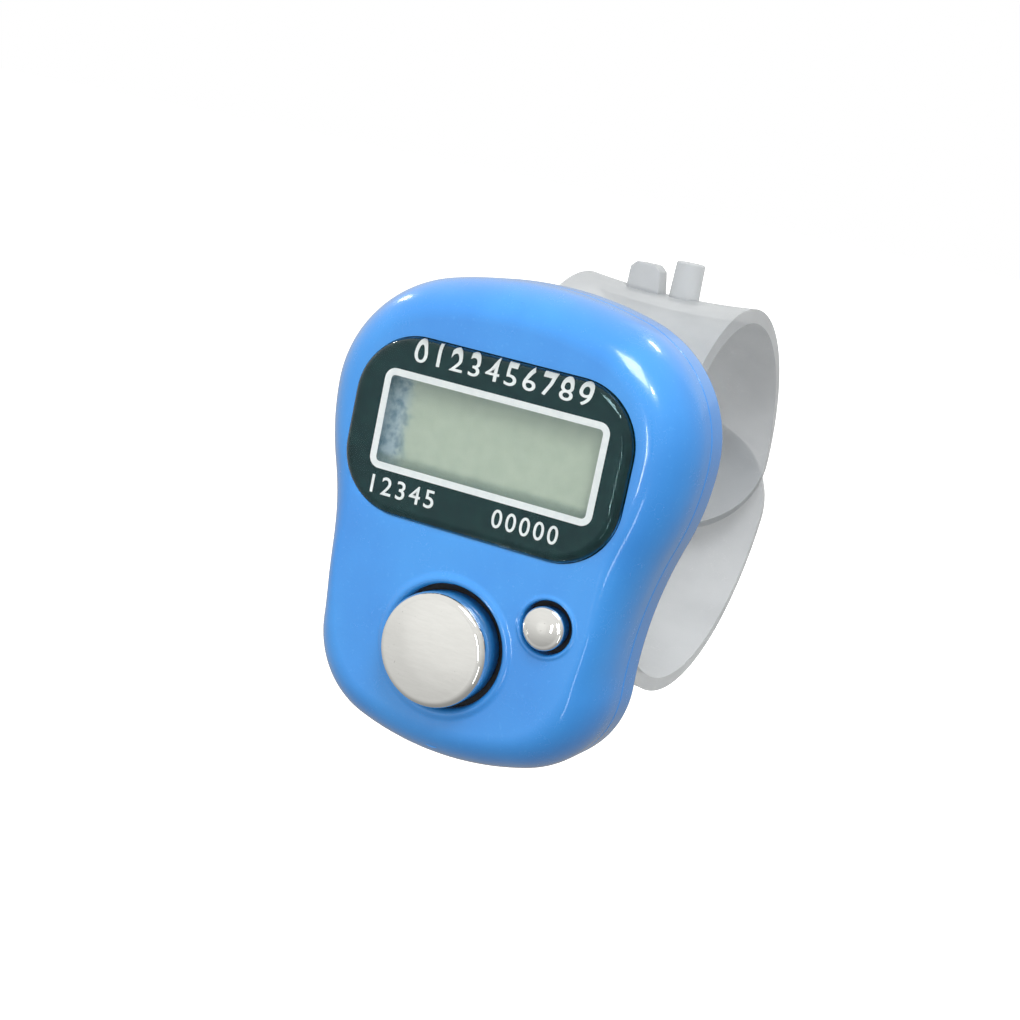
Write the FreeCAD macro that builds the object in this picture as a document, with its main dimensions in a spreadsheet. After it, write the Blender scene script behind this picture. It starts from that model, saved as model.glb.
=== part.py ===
import FreeCAD, Part

import math
import os

import Sketcher

# Finger-worn row counter, in millimetres.
#
# Row frame: X across the counter, Y from the display towards the finger, Z up. The origin is the
# middle of the finger space, on the axis of the finger.
# Every piece is drawn in a case frame whose origin is the middle of the display face, with Y as the
# depth behind that face, and its Placement then carries it into the row frame.

Vector = FreeCAD.Vector

doc = FreeCAD.newDocument("row_counter")
sheet = doc.addObject("Spreadsheet::Sheet", "Sizes")

DRIVING_SIZES = [
    # place of the display face in the row frame
    ("case_setback", 37.2), ("case_rise", 2.2),
    # outline of the case, seen from the front
    ("top_rise", 13.8), ("bottom_drop", 28.6),
    ("side_half_width", 17.1), ("side_rise", 1.9), ("side_radius", 23.0), ("shoulder_radius", 11.1),
    ("waist_half_width", 13.9), ("waist_drop", 17.5),
    ("corner_radius", 8.5), ("bottom_radius", 26.0),
    # depths of the case
    ("front_depth", 1.1), ("parting_depth", 8.3), ("back_depth", 12.0),
    ("shell_wall", 1.3), ("back_wall", 1.1), ("front_round", 4.2), ("cavity_round", 1.8), ("back_round", 1.0),
    ("lip_height", 0.9), ("lip_wall", 0.6), ("lip_gap", 0.1), ("lip_bridge", 0.6), ("merge", 0.2),
    # display window
    ("lens_half_width", 13.0), ("lens_top", 7.5), ("lens_bottom", -8.05), ("lens_corner", 5.6),
    ("lens_gap", 0.08), ("lens_thickness", 1.45), ("mask_thickness", 0.15), ("lens_edge_round", 0.95),
    ("window_half_width", 10.3), ("window_half_height", 4.1), ("window_corner", 0.8), ("window_ledge", 0.6),
    # display cell and its holder
    ("cell_depth", 2.5), ("polariser_thickness", 0.2), ("glass_thickness", 0.55),
    ("glass_half_width", 11.5), ("glass_top", 5.3), ("glass_bottom", -5.7), ("ledge_top", -3.5),
    ("holder_half_width", 12.5), ("holder_top", 6.3), ("holder_bottom", -6.8), ("fit_gap", 0.1),
    ("connector_half_width", 10.5), ("connector_top", -3.8), ("connector_bottom", -5.4),
    ("holder_side_ledge", 1.5), ("holder_bar", 1.2),
    # circuit board
    ("board_depth", 6.4), ("board_thickness", 0.8), ("board_edge_gap", 0.7),
    ("post_radius", 1.5), ("post_bore_radius", 0.65),
    ("left_post_across", -10.6), ("left_post_rise", -10.8),
    ("right_post_across", 9.3), ("right_post_rise", -20.4),
    ("board_top_trim", 0.6), ("board_bottom_trim", 0.4),
    ("board_head_radius", 1.2), ("board_head_height", 0.7), ("board_screw_tip", 4.0), ("screw_play", 0.15),
    ("pad_thickness", 0.05), ("chip_radius", 3.4), ("chip_height", 0.9), ("chip_rise", -15.0),
    ("component_half_length", 0.8), ("component_half_width", 0.4),
    # count button
    ("count_across", -0.25), ("count_rise", -17.86), ("count_radius", 5.0), ("count_hole_radius", 5.4),
    ("count_face", -1.5), ("count_crown", 0.3), ("count_edge", 0.7),
    ("count_flange_radius", 5.9), ("count_stem_radius", 2.0), ("count_travel", 0.8),
    ("count_dome_base", 4.6), ("count_dome_top", 2.6), ("count_pill_radius", 1.8), ("count_pad_radius", 2.6),
    # reset button
    ("reset_across", 8.6), ("reset_rise", -13.6), ("reset_radius", 1.9), ("reset_hole_radius", 2.3),
    ("reset_face", 0.2), ("reset_crown", 0.35), ("reset_edge", 0.4),
    ("reset_flange_radius", 2.7), ("reset_stem_radius", 0.9), ("reset_travel", 0.5),
    ("reset_dome_base", 2.4), ("reset_dome_top", 1.2), ("reset_pill_radius", 0.75), ("reset_pad_radius", 1.0),
    ("flange_depth", 2.45), ("flange_thickness", 0.7), ("dome_top_depth", 4.7), ("rubber_wall", 0.4),
    # battery
    ("battery_radius", 5.8), ("battery_height", 3.05), ("battery_rise", -1.5), ("battery_depth", 7.6),
    ("contact_sheet", 0.2), ("rib_gap", 0.15), ("rib_wall", 0.7), ("rib_opening_half_width", 2.6),
    # case screws
    ("top_screw_rise", 10.6), ("bottom_screw_rise", -25.5), ("boss_radius", 1.65), ("back_boss_radius", 2.1),
    ("thread_radius", 0.8), ("clearance_radius", 0.95), ("head_radius", 1.5), ("head_height", 0.9),
    ("head_sink", 1.05), ("thread_depth", 4.2),
    # strap
    ("strap_half_width", 9.0), ("strap_wall", 1.4),
    ("foot_top", -0.8), ("foot_bottom", -10.6), ("foot_thickness", 3.0), ("foot_corner", 2.0),
    ("peg_across", 6.6), ("peg_rise", -8.6), ("peg_radius", 1.2),
    ("peg_head_radius", 1.7), ("peg_head_height", 0.35),
    ("root_gap", 0.12),
    ("upper_radius", 16.3), ("upper_root_rise", -1.6), ("upper_tip_rise", -2.4),
    ("lower_radius", 21.5), ("lower_axis_depth", 35.35), ("lower_axis_drop", 3.1),
    ("lower_root_rise", -10.25), ("lower_tip_rise", -8.7),
    ("lug_depth", 35.2), ("lug_thickness", 2.6),
    ("tapered_lug_across", -2.4), ("tapered_lug_height", 2.1),
    ("straight_lug_across", 1.75), ("straight_lug_height", 3.0),
]

for row, (name, number) in enumerate(DRIVING_SIZES, start=1):
    sheet.set(f"A{row}", name)
    sheet.set(f"B{row}", str(number))
    sheet.setAlias(f"B{row}", name)
doc.recompute()


def value(expression):
    """The number that an expression on the sheet's names comes to now."""
    return float(sheet.evalExpression(expression))


def size(name):
    return value(f"Sizes.{name}")


# ---------------------------------------------------------------------------------------------
# Drawing helpers
# ---------------------------------------------------------------------------------------------

PIECES = []


def piece(name, kind="PartDesign::Body"):
    """A new sub-part, carried from the case frame into the row frame."""
    made = doc.addObject(kind, name)
    made.Label = name
    PIECES.append(made)
    return made


def place(made):
    made.setExpression("Placement.Base.y", "-Sizes.case_setback")
    made.setExpression("Placement.Base.z", "Sizes.case_rise")


def sketch_on(body, role, name, across="0", rise="0", out="0"):
    """A sketch on one of the body's own origin planes, shifted in the plane and along its normal."""
    sketch = body.newObject("Sketcher::SketchObject", f"{body.Name}_{name}")
    support = next(f for f in body.Origin.OriginFeatures if f.Role == role)
    sketch.AttachmentSupport = [(support, "")]
    sketch.MapMode = "FlatFace"
    for axis, expression in (("x", across), ("y", rise), ("z", out)):
        sketch.setExpression(f"AttachmentOffset.Base.{axis}", expression)
    return sketch


def front_sketch(body, name, depth, across="0", rise="0"):
    """A sketch seen from the front, at a depth behind the display face."""
    return sketch_on(body, "XZ_Plane", name, across, rise, f"-({depth})")


def side_sketch(body, name, depth="0", rise="0", across="0"):
    """A sketch seen from the side: its first axis is the depth, its second the height."""
    return sketch_on(body, "YZ_Plane", name, depth, rise, across)


def bind(sketch, kind, *parts, to):
    """A dimension in a sketch that follows an expression."""
    number = sketch.addConstraint(Sketcher.Constraint(kind, *parts, value(to)))
    sketch.setExpression(f"Constraints[{number}]", to)


def add_circle(sketch, radius, across="0", rise="0"):
    """A circle bound to expressions for its radius and centre."""
    centre = Vector(value(across), value(rise), 0)
    circle = sketch.addGeometry(Part.Circle(centre, Vector(0, 0, 1), value(radius)))
    bind(sketch, "Radius", circle, to=radius)
    for kind, expression in (("DistanceX", across), ("DistanceY", rise)):
        bind(sketch, kind, -1, 1, circle, 3, to=expression)


def add_rectangle(sketch, left, right, bottom, top):
    """An upright rectangle whose four sides are bound to expressions."""
    low = Vector(value(left), value(bottom), 0)
    high = Vector(value(right), value(top), 0)
    corners = [low, Vector(high.x, low.y, 0), high, Vector(low.x, high.y, 0)]
    first = add_polygon(sketch, corners)
    for line, kind in ((0, "Horizontal"), (1, "Vertical"), (2, "Horizontal"), (3, "Vertical")):
        sketch.addConstraint(Sketcher.Constraint(kind, first + line))
    bind(sketch, "DistanceX", -1, 1, first, 1, to=left)
    bind(sketch, "DistanceY", -1, 1, first, 1, to=bottom)
    bind(sketch, "DistanceX", -1, 1, first + 2, 1, to=right)
    bind(sketch, "DistanceY", -1, 1, first + 2, 1, to=top)


def add_polygon(sketch, corners):
    return add_edges(sketch, [Part.LineSegment(a, b) for a, b in zip(corners, corners[1:] + corners[:1])])


def add_edges(sketch, edges):
    """A closed chain of edges, each joined to the next where they meet; returns the first's number."""
    numbers = [sketch.addGeometry(edge) for edge in edges]
    for number, following in zip(numbers, numbers[1:] + numbers[:1]):
        gaps = {(end, start): sketch.getPoint(number, end).distanceToPoint(sketch.getPoint(following, start))
                for end in (1, 2) for start in (1, 2)}
        end, start = min(gaps, key=gaps.get)
        sketch.addConstraint(Sketcher.Constraint("Coincident", number, end, following, start))
    return numbers[0]


def arc_between(centre, radius, start, end):
    """The short arc about a centre from one point's direction to another's, drawn in that order."""
    middle = (start - centre).normalize() + (end - centre).normalize()
    middle.normalize()
    return Part.Arc(start, centre + middle * radius, end)


def outline_edges(inset):
    """The case outline, inset by a wall: tangent arcs for the crown, shoulders, sides, waist, lower
    corners and bottom, drawn for one side and mirrored for the other."""
    crown_offset = size("top_rise") - size("side_rise")
    shoulder_x = size("side_half_width") - size("shoulder_radius")
    shoulder_gap = crown_offset - size("shoulder_radius")
    crown_radius = size("shoulder_radius") + (shoulder_x ** 2 + shoulder_gap ** 2) / (2 * shoulder_gap)
    crown = Vector(0, size("top_rise") - crown_radius, 0)
    shoulder = Vector(shoulder_x, size("side_rise"), 0)
    side = Vector(size("side_half_width") - size("side_radius"), size("side_rise"), 0)

    # the waist is hollow: its circle lies outside the case and touches the side circle from outside
    reach = size("waist_half_width") - side.x
    drop = size("side_rise") + size("waist_drop")
    waist_radius = (reach ** 2 + drop ** 2 - size("side_radius") ** 2) / (2 * (size("side_radius") - reach))
    waist = Vector(size("waist_half_width") + waist_radius, -size("waist_drop"), 0)

    # the lower corner touches the waist circle from outside and the bottom circle from inside
    bottom = Vector(0, size("bottom_radius") - size("bottom_drop"), 0)
    to_waist = waist_radius + size("corner_radius")
    to_bottom = size("bottom_radius") - size("corner_radius")
    apart = waist - bottom
    along = (apart.Length ** 2 + to_bottom ** 2 - to_waist ** 2) / (2 * apart.Length)
    aside = math.sqrt(to_bottom ** 2 - along ** 2)
    course = Vector(apart).normalize()
    corner = bottom + course * along + Vector(course.y, -course.x, 0) * aside

    circles = [
        (crown, crown_radius - inset), (shoulder, size("shoulder_radius") - inset),
        (side, size("side_radius") - inset), (waist, waist_radius + inset),
        (corner, size("corner_radius") - inset), (bottom, size("bottom_radius") - inset),
    ]

    def touching(first, second):
        """Where two circles touch: between their centres at the waist, elsewhere beyond the smaller one's."""
        (start, radius), (end, other_radius) = first, second
        direction = (end - start).normalize()
        at_waist = first is circles[3] or second is circles[3]
        if not at_waist and radius < other_radius:
            direction = direction * -1
        return start + direction * radius

    joints = [touching(circles[k], circles[k + 1]) for k in range(len(circles) - 1)]
    right = [
        arc_between(centre, radius, joints[k], joints[k + 1])
        for k, (centre, radius) in enumerate(circles[1:-1])
    ]
    left = [
        arc_between(Vector(-centre.x, centre.y, 0), radius,
                    Vector(-joints[k + 1].x, joints[k + 1].y, 0), Vector(-joints[k].x, joints[k].y, 0))
        for k, (centre, radius) in enumerate(circles[1:-1])
    ]
    top_arc = arc_between(crown, circles[0][1], Vector(-joints[0].x, joints[0].y, 0), joints[0])
    bottom_arc = arc_between(bottom, circles[-1][1], joints[-1], Vector(-joints[-1].x, joints[-1].y, 0))
    return [top_arc] + right + [bottom_arc] + left[::-1]


def rounded_rectangle_edges(half_width, bottom, top, radius):
    """An upright rectangle with round corners, going round anticlockwise."""
    corners = [
        (half_width - radius, bottom + radius, -90), (half_width - radius, top - radius, 0),
        (-half_width + radius, top - radius, 90), (-half_width + radius, bottom + radius, 180),
    ]

    def on_corner(corner, degrees):
        x, y, _ = corner
        turn = math.radians(degrees)
        return Vector(x + radius * math.cos(turn), y + radius * math.sin(turn), 0)

    edges = []
    for corner, following in zip(corners, corners[1:] + corners[:1]):
        begin = corner[2]
        start, middle, end = (on_corner(corner, begin + turned) for turned in (0, 45, 90))
        edges.append(Part.Arc(start, middle, end))
        edges.append(Part.LineSegment(end, on_corner(following, following[2])))
    return edges


def pad(body, sketch, length, backwards=True):
    """Material from the sketch towards the finger, or towards the front."""
    made = body.newObject("PartDesign::Pad", sketch.Name + "_pad")
    made.Profile = sketch
    made.setExpression("Length", length)
    made.Reversed = backwards
    doc.recompute()
    return made


def pocket(body, sketch, length, backwards=True):
    """A cut from the sketch; fails loudly when it takes nothing away."""
    before = body.Shape.Volume
    made = body.newObject("PartDesign::Pocket", sketch.Name + "_pocket")
    made.Profile = sketch
    made.setExpression("Length", length)
    made.Reversed = not backwards
    doc.recompute()
    if not made.Shape.Volume < before - 1e-6:
        raise RuntimeError(f"{made.Name} cuts nothing")
    return made


def edges_at_depth(shape, depth):
    """Names of the edges that lie wholly at one depth."""
    names = []
    for number, edge in enumerate(shape.Edges, start=1):
        if edge.BoundBox.YLength < 1e-4 and abs(edge.BoundBox.YMin - depth) < 1e-4:
            names.append(f"Edge{number}")
    return names


def round_edges(body, base, names, radius):
    made = body.newObject("PartDesign::Fillet", f"{body.Name}_round_{len(body.Group)}")
    made.Base = (base, names)
    made.setExpression("Radius", radius)
    doc.recompute()
    return made


def slab(name, depth, thickness, draw):
    """A flat piece: one outline, given a thickness."""
    body = piece(name)
    sketch = front_sketch(body, "sketch", depth)
    draw(sketch)
    pad(body, sketch, thickness)
    place(body)
    return body


def turned(name, across, rise, profile):
    """A round piece on an axis through its centre, from corners given as (depth, radius)."""
    body = piece(name)
    sketch = side_sketch(body, "sketch", rise=rise, across=across)
    add_edges(sketch, profile)
    spin = body.newObject("PartDesign::Revolution", f"{name}_spin")
    spin.Profile = sketch
    spin.ReferenceAxis = (sketch, ["H_Axis"])
    spin.Angle = 360
    doc.recompute()
    place(body)
    return body


def lines(*corners):
    """Straight edges through corners, closed."""
    points = [Vector(depth, radius, 0) for depth, radius in corners]
    return [Part.LineSegment(a, b) for a, b in zip(points, points[1:] + points[:1])]


def round_bar(name, radius, length, across, rise, depth):
    """A cylinder along the depth, from the given depth backwards."""
    made = doc.addObject("Part::Cylinder", name)
    made.setExpression("Radius", radius)
    made.setExpression("Height", length)
    made.Placement.Rotation = FreeCAD.Rotation(Vector(1, 0, 0), -90)
    made.setExpression("Placement.Base.x", across)
    made.setExpression("Placement.Base.y", depth)
    made.setExpression("Placement.Base.z", rise)
    return made


def slotted_screw(name, head, shank, rise, across, top, slot_length=1.7, slot_width=0.38, slot_depth=0.45):
    """Head and shank joined, with a cross cut into the head."""
    whole = doc.addObject("Part::MultiFuse", f"{name}_blank")
    whole.Shapes = [head, shank]
    bars = []
    for number, (wide, high) in enumerate(((slot_length, slot_width), (slot_width, slot_length))):
        bar = doc.addObject("Part::Box", f"{name}_bar_{number}")
        bar.Length = wide
        bar.Width = 2 * slot_depth
        bar.Height = high
        bar.setExpression("Placement.Base.x", f"{across} - {wide / 2}")
        bar.setExpression("Placement.Base.y", f"{top} - {slot_depth}")
        bar.setExpression("Placement.Base.z", f"{rise} - {high / 2}")
        bars.append(bar)
    cross = doc.addObject("Part::MultiFuse", f"{name}_cross")
    cross.Shapes = bars
    screw = doc.addObject("Part::Cut", name)
    screw.Base = whole
    screw.Tool = cross
    return screw


# ---------------------------------------------------------------------------------------------
# Case
# ---------------------------------------------------------------------------------------------

def draw_lens(sketch, grow=0.0):
    edges = rounded_rectangle_edges(
        size("lens_half_width") + grow, size("lens_bottom") - grow, size("lens_top") + grow,
        size("lens_corner") + grow)
    add_edges(sketch, edges)


def front_cover():
    """Glossy shell, open at the back, with a stepped seat for the lens, the button holes and bosses."""
    body = piece("front_cover")
    outside = front_sketch(body, "outside", "Sizes.front_depth")
    add_edges(outside, outline_edges(0))
    block = pad(body, outside, "Sizes.parting_depth - Sizes.front_depth")
    round_edges(body, block, edges_at_depth(block.Shape, size("front_depth")), "Sizes.front_round")

    hollow = front_sketch(body, "hollow", "Sizes.parting_depth")
    add_edges(hollow, outline_edges(size("shell_wall")))
    hollow_depth = "Sizes.parting_depth - Sizes.front_depth - Sizes.shell_wall"
    cavity = pocket(body, hollow, hollow_depth, backwards=False)
    inner_edges = edges_at_depth(cavity.Shape, size("front_depth") + size("shell_wall"))
    round_edges(body, cavity, inner_edges, "Sizes.cavity_round")

    seat = front_sketch(body, "lens_seat", "Sizes.front_depth")
    draw_lens(seat, size("lens_gap"))
    pocket(body, seat, "Sizes.lens_thickness + Sizes.mask_thickness - Sizes.front_depth")
    window = front_sketch(body, "window", "Sizes.front_depth")
    add_rectangle(window, "-Sizes.window_half_width - Sizes.window_ledge",
                  "Sizes.window_half_width + Sizes.window_ledge",
                  "-Sizes.window_half_height - Sizes.window_ledge",
                  "Sizes.window_half_height + Sizes.window_ledge")
    pocket(body, window, "2 * Sizes.shell_wall")

    for button in ("count", "reset"):
        hole = front_sketch(body, f"{button}_hole", "Sizes.front_depth")
        add_circle(hole, f"Sizes.{button}_hole_radius", f"Sizes.{button}_across", f"Sizes.{button}_rise")
        pocket(body, hole, "2 * Sizes.shell_wall")

    inner_face = "Sizes.front_depth + Sizes.shell_wall"
    bosses = front_sketch(body, "bosses", f"{inner_face} - Sizes.merge")
    for end in ("top", "bottom"):
        add_circle(bosses, "Sizes.boss_radius", "0", f"Sizes.{end}_screw_rise")
    pad(body, bosses, "Sizes.parting_depth - Sizes.front_depth - Sizes.shell_wall + Sizes.merge")
    bores = front_sketch(body, "bores", "Sizes.parting_depth")
    for end in ("top", "bottom"):
        add_circle(bores, "Sizes.thread_radius", "0", f"Sizes.{end}_screw_rise")
    pocket(body, bores, "Sizes.parting_depth - Sizes.thread_depth", backwards=False)

    posts = front_sketch(body, "posts", f"{inner_face} - Sizes.merge")
    for side in ("left", "right"):
        add_circle(posts, "Sizes.post_radius", f"Sizes.{side}_post_across", f"Sizes.{side}_post_rise")
    pad(body, posts, "Sizes.board_depth - Sizes.front_depth - Sizes.shell_wall + Sizes.merge")
    post_bores = front_sketch(body, "post_bores", "Sizes.board_depth")
    for side in ("left", "right"):
        add_circle(post_bores, "Sizes.post_bore_radius",
                   f"Sizes.{side}_post_across", f"Sizes.{side}_post_rise")
    pocket(body, post_bores, "Sizes.board_depth - Sizes.board_screw_tip + Sizes.merge", backwards=False)
    place(body)


def back_cover():
    """Shallow rear shell with a locating lip, screw bosses, peg holes and a ring rib for the cell."""
    body = piece("back_cover")
    outside = front_sketch(body, "outside", "Sizes.parting_depth")
    add_edges(outside, outline_edges(0))
    block = pad(body, outside, "Sizes.back_depth - Sizes.parting_depth")
    round_edges(body, block, edges_at_depth(block.Shape, size("back_depth")), "Sizes.back_round")

    hollow = front_sketch(body, "hollow", "Sizes.parting_depth")
    add_edges(hollow, outline_edges(size("shell_wall")))
    pocket(body, hollow, "Sizes.back_depth - Sizes.parting_depth - Sizes.back_wall")

    lip = front_sketch(body, "lip", "Sizes.parting_depth + Sizes.lip_bridge")
    add_edges(lip, outline_edges(size("shell_wall") + size("lip_gap")))
    add_edges(lip, outline_edges(size("shell_wall") + size("lip_gap") + size("lip_wall")))
    pad(body, lip, "Sizes.lip_height + Sizes.lip_bridge", backwards=False)
    lip_root = front_sketch(body, "lip_root", "Sizes.parting_depth + Sizes.lip_bridge")
    add_edges(lip_root, outline_edges(size("shell_wall") - size("merge")))
    add_edges(lip_root, outline_edges(size("shell_wall") + size("lip_gap") + size("lip_wall")))
    pad(body, lip_root, "Sizes.lip_bridge")

    inner_face = "Sizes.back_depth - Sizes.back_wall"
    rib = front_sketch(body, "rib", f"{inner_face} + Sizes.merge")
    add_circle(rib, "Sizes.battery_radius + Sizes.rib_gap", "0", "Sizes.battery_rise")
    add_circle(rib, "Sizes.battery_radius + Sizes.rib_gap + Sizes.rib_wall", "0", "Sizes.battery_rise")
    pad(body, rib, "Sizes.battery_height + Sizes.merge", backwards=False)
    gap = front_sketch(body, "rib_opening", inner_face)
    add_rectangle(gap, "-Sizes.rib_opening_half_width", "Sizes.rib_opening_half_width",
                  "Sizes.battery_rise - Sizes.battery_radius - 2 * Sizes.rib_wall", "Sizes.battery_rise")
    pocket(body, gap, "Sizes.battery_height + Sizes.merge", backwards=False)

    notches = front_sketch(body, "lip_notches", "Sizes.parting_depth")
    for end in ("top", "bottom"):
        add_circle(notches, "Sizes.boss_radius + Sizes.screw_play", "0", f"Sizes.{end}_screw_rise")
    pocket(body, notches, "2 * Sizes.lip_height", backwards=False)
    bosses = front_sketch(body, "bosses", f"{inner_face} + Sizes.merge")
    for end in ("top", "bottom"):
        add_circle(bosses, "Sizes.back_boss_radius", "0", f"Sizes.{end}_screw_rise")
    boss_length = f"{inner_face} - Sizes.parting_depth - Sizes.lip_gap + Sizes.merge"
    pad(body, bosses, boss_length, backwards=False)
    holes = front_sketch(body, "holes", "Sizes.back_depth")
    sinks = front_sketch(body, "sinks", "Sizes.back_depth")
    for end in ("top", "bottom"):
        add_circle(holes, "Sizes.clearance_radius", "0", f"Sizes.{end}_screw_rise")
        add_circle(sinks, "Sizes.head_radius + Sizes.screw_play", "0", f"Sizes.{end}_screw_rise")
    pocket(body, holes, "Sizes.back_depth - Sizes.parting_depth + Sizes.lip_height", backwards=False)
    pocket(body, sinks, "Sizes.head_sink", backwards=False)

    pegs = front_sketch(body, "peg_holes", "Sizes.back_depth")
    for side in ("-", ""):
        add_circle(pegs, "Sizes.peg_radius", f"{side}Sizes.peg_across", "Sizes.peg_rise")
    pocket(body, pegs, "2 * Sizes.back_wall", backwards=False)
    place(body)


def case_screws():
    """Two self-tapping screws with cross-slotted heads, from the back into the front cover."""
    body = piece("case_screws", "Part::Compound")
    screws = []
    for end in ("top", "bottom"):
        rise = f"Sizes.{end}_screw_rise"
        seat = "Sizes.back_depth - Sizes.head_sink"
        head = round_bar(f"{end}_screw_head", "Sizes.head_radius", "Sizes.head_height", "0", rise, seat)
        shank = round_bar(f"{end}_screw_shank", "Sizes.thread_radius", f"{seat} - Sizes.thread_depth",
                          "0", rise, "Sizes.thread_depth")
        screws.append(slotted_screw(f"{end}_screw", head, shank, rise, "0", f"{seat} + Sizes.head_height"))
    body.Links = screws
    place(body)


# ---------------------------------------------------------------------------------------------
# Display
# ---------------------------------------------------------------------------------------------

def display_lens():
    """Clear moulded window, a little proud of the shell, with its front edge eased."""
    body = slab("display_lens", "0", "Sizes.lens_thickness", draw_lens)
    front = edges_at_depth(body.Tip.Shape, 0)
    round_edges(body, body.Tip, front, "Sizes.lens_edge_round")


def window_mask():
    """Black printed film with a rectangular opening, under the lens."""
    def draw(sketch):
        draw_lens(sketch)
        edges = rounded_rectangle_edges(size("window_half_width"), -size("window_half_height"),
                                        size("window_half_height"), size("window_corner"))
        add_edges(sketch, edges)
    slab("window_mask", "Sizes.lens_thickness", "Sizes.mask_thickness", draw)


def display_cell():
    """Two glasses between two polarisers; the front glass reaches lower, over the contact ledge."""
    sides = ("-Sizes.glass_half_width", "Sizes.glass_half_width")
    full = ("Sizes.glass_bottom", "Sizes.glass_top")
    short = ("Sizes.ledge_top", "Sizes.glass_top")
    front_glass = "Sizes.cell_depth + Sizes.polariser_thickness"
    rear_glass = f"{front_glass} + Sizes.glass_thickness"
    rear_polariser = f"{rear_glass} + Sizes.glass_thickness"
    layers = [
        ("front_polariser", "Sizes.cell_depth", "Sizes.polariser_thickness", full),
        ("lcd_front_glass", front_glass, "Sizes.glass_thickness", full),
        ("lcd_rear_glass", rear_glass, "Sizes.glass_thickness", short),
        ("rear_polariser", rear_polariser, "Sizes.polariser_thickness", short),
    ]
    for name, depth, thickness, (bottom, top) in layers:
        slab(name, depth, thickness, lambda sketch: add_rectangle(sketch, *sides, bottom, top))


def lcd_holder():
    """Frame from the shell to the board, with a pocket for the cell and a slot for the connector."""
    cell_back = "Sizes.cell_depth + 2 * Sizes.polariser_thickness + 2 * Sizes.glass_thickness"
    body = slab("lcd_holder", "Sizes.cell_depth", "Sizes.board_depth - Sizes.cell_depth",
                lambda sketch: add_rectangle(sketch, "-Sizes.holder_half_width", "Sizes.holder_half_width",
                                             "Sizes.holder_bottom", "Sizes.holder_top"))
    nest = front_sketch(body, "nest", "Sizes.cell_depth")
    add_rectangle(nest, "-Sizes.glass_half_width - Sizes.fit_gap", "Sizes.glass_half_width + Sizes.fit_gap",
                  "Sizes.glass_bottom - Sizes.fit_gap", "Sizes.glass_top + Sizes.fit_gap")
    pocket(body, nest, f"{cell_back} - Sizes.cell_depth")
    middle = front_sketch(body, "middle", cell_back)
    add_rectangle(middle, "-Sizes.glass_half_width + Sizes.holder_side_ledge",
                  "Sizes.glass_half_width - Sizes.holder_side_ledge",
                  "Sizes.connector_top + Sizes.holder_bar", "Sizes.glass_top - Sizes.holder_bar")
    pocket(body, middle, "Sizes.board_depth")
    slot = front_sketch(body, "slot", cell_back)
    add_rectangle(slot, "-Sizes.connector_half_width - Sizes.fit_gap",
                  "Sizes.connector_half_width + Sizes.fit_gap",
                  "Sizes.connector_bottom - Sizes.fit_gap", "Sizes.connector_top + Sizes.fit_gap")
    pocket(body, slot, "Sizes.board_depth")


def lcd_connector():
    """Striped rubber strip between the ledge of the front glass and the board."""
    start = "Sizes.cell_depth + Sizes.polariser_thickness + Sizes.glass_thickness"
    slab("lcd_connector", start, f"Sizes.board_depth - ({start})",
         lambda sketch: add_rectangle(sketch, "-Sizes.connector_half_width", "Sizes.connector_half_width",
                                      "Sizes.connector_bottom", "Sizes.connector_top"))


# ---------------------------------------------------------------------------------------------
# Board and battery
# ---------------------------------------------------------------------------------------------

def circuit_board():
    """Board cut to the inside of the case, trimmed at both ends to clear the screw bosses."""
    body = slab("circuit_board", "Sizes.board_depth", "Sizes.board_thickness",
                lambda sketch: add_edges(sketch, outline_edges(size("shell_wall") + size("board_edge_gap"))))
    trims = front_sketch(body, "trims", "Sizes.board_depth")
    sides = ("-Sizes.side_half_width", "Sizes.side_half_width")
    add_rectangle(trims, *sides,
                  "Sizes.top_screw_rise - Sizes.boss_radius - Sizes.board_top_trim", "Sizes.top_rise")
    add_rectangle(trims, *sides, "-Sizes.bottom_drop",
                  "Sizes.bottom_screw_rise + Sizes.boss_radius + Sizes.board_bottom_trim")
    pocket(body, trims, "Sizes.board_thickness")
    holes = front_sketch(body, "holes", "Sizes.board_depth")
    for side in ("left", "right"):
        add_circle(holes, "Sizes.post_bore_radius + Sizes.screw_play",
                   f"Sizes.{side}_post_across", f"Sizes.{side}_post_rise")
    pocket(body, holes, "Sizes.board_thickness")


def board_screws():
    """Two small screws from the back of the board into the posts."""
    body = piece("board_screws", "Part::Compound")
    screws = []
    for side in ("left", "right"):
        across, rise = f"Sizes.{side}_post_across", f"Sizes.{side}_post_rise"
        seat = "Sizes.board_depth + Sizes.board_thickness"
        head = round_bar(f"{side}_board_head", "Sizes.board_head_radius", "Sizes.board_head_height",
                         across, rise, seat)
        shank = round_bar(f"{side}_board_shank", "Sizes.post_bore_radius", f"{seat} - Sizes.board_screw_tip",
                          across, rise, "Sizes.board_screw_tip")
        screws.append(slotted_screw(f"{side}_board_screw", head, shank, rise, across,
                                    f"{seat} + Sizes.board_head_height",
                                    slot_length=1.2, slot_width=0.3, slot_depth=0.3))
    body.Links = screws
    place(body)


def contact_pads():
    """Printed carbon pads under the two pills."""
    body = piece("contact_pads", "Part::Compound")
    pads = []
    for prefix in ("count", "reset"):
        pads.append(round_bar(f"{prefix}_pad", f"Sizes.{prefix}_pad_radius", "Sizes.pad_thickness",
                              f"Sizes.{prefix}_across", f"Sizes.{prefix}_rise",
                              "Sizes.board_depth - Sizes.pad_thickness"))
    body.Links = pads
    place(body)


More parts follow.
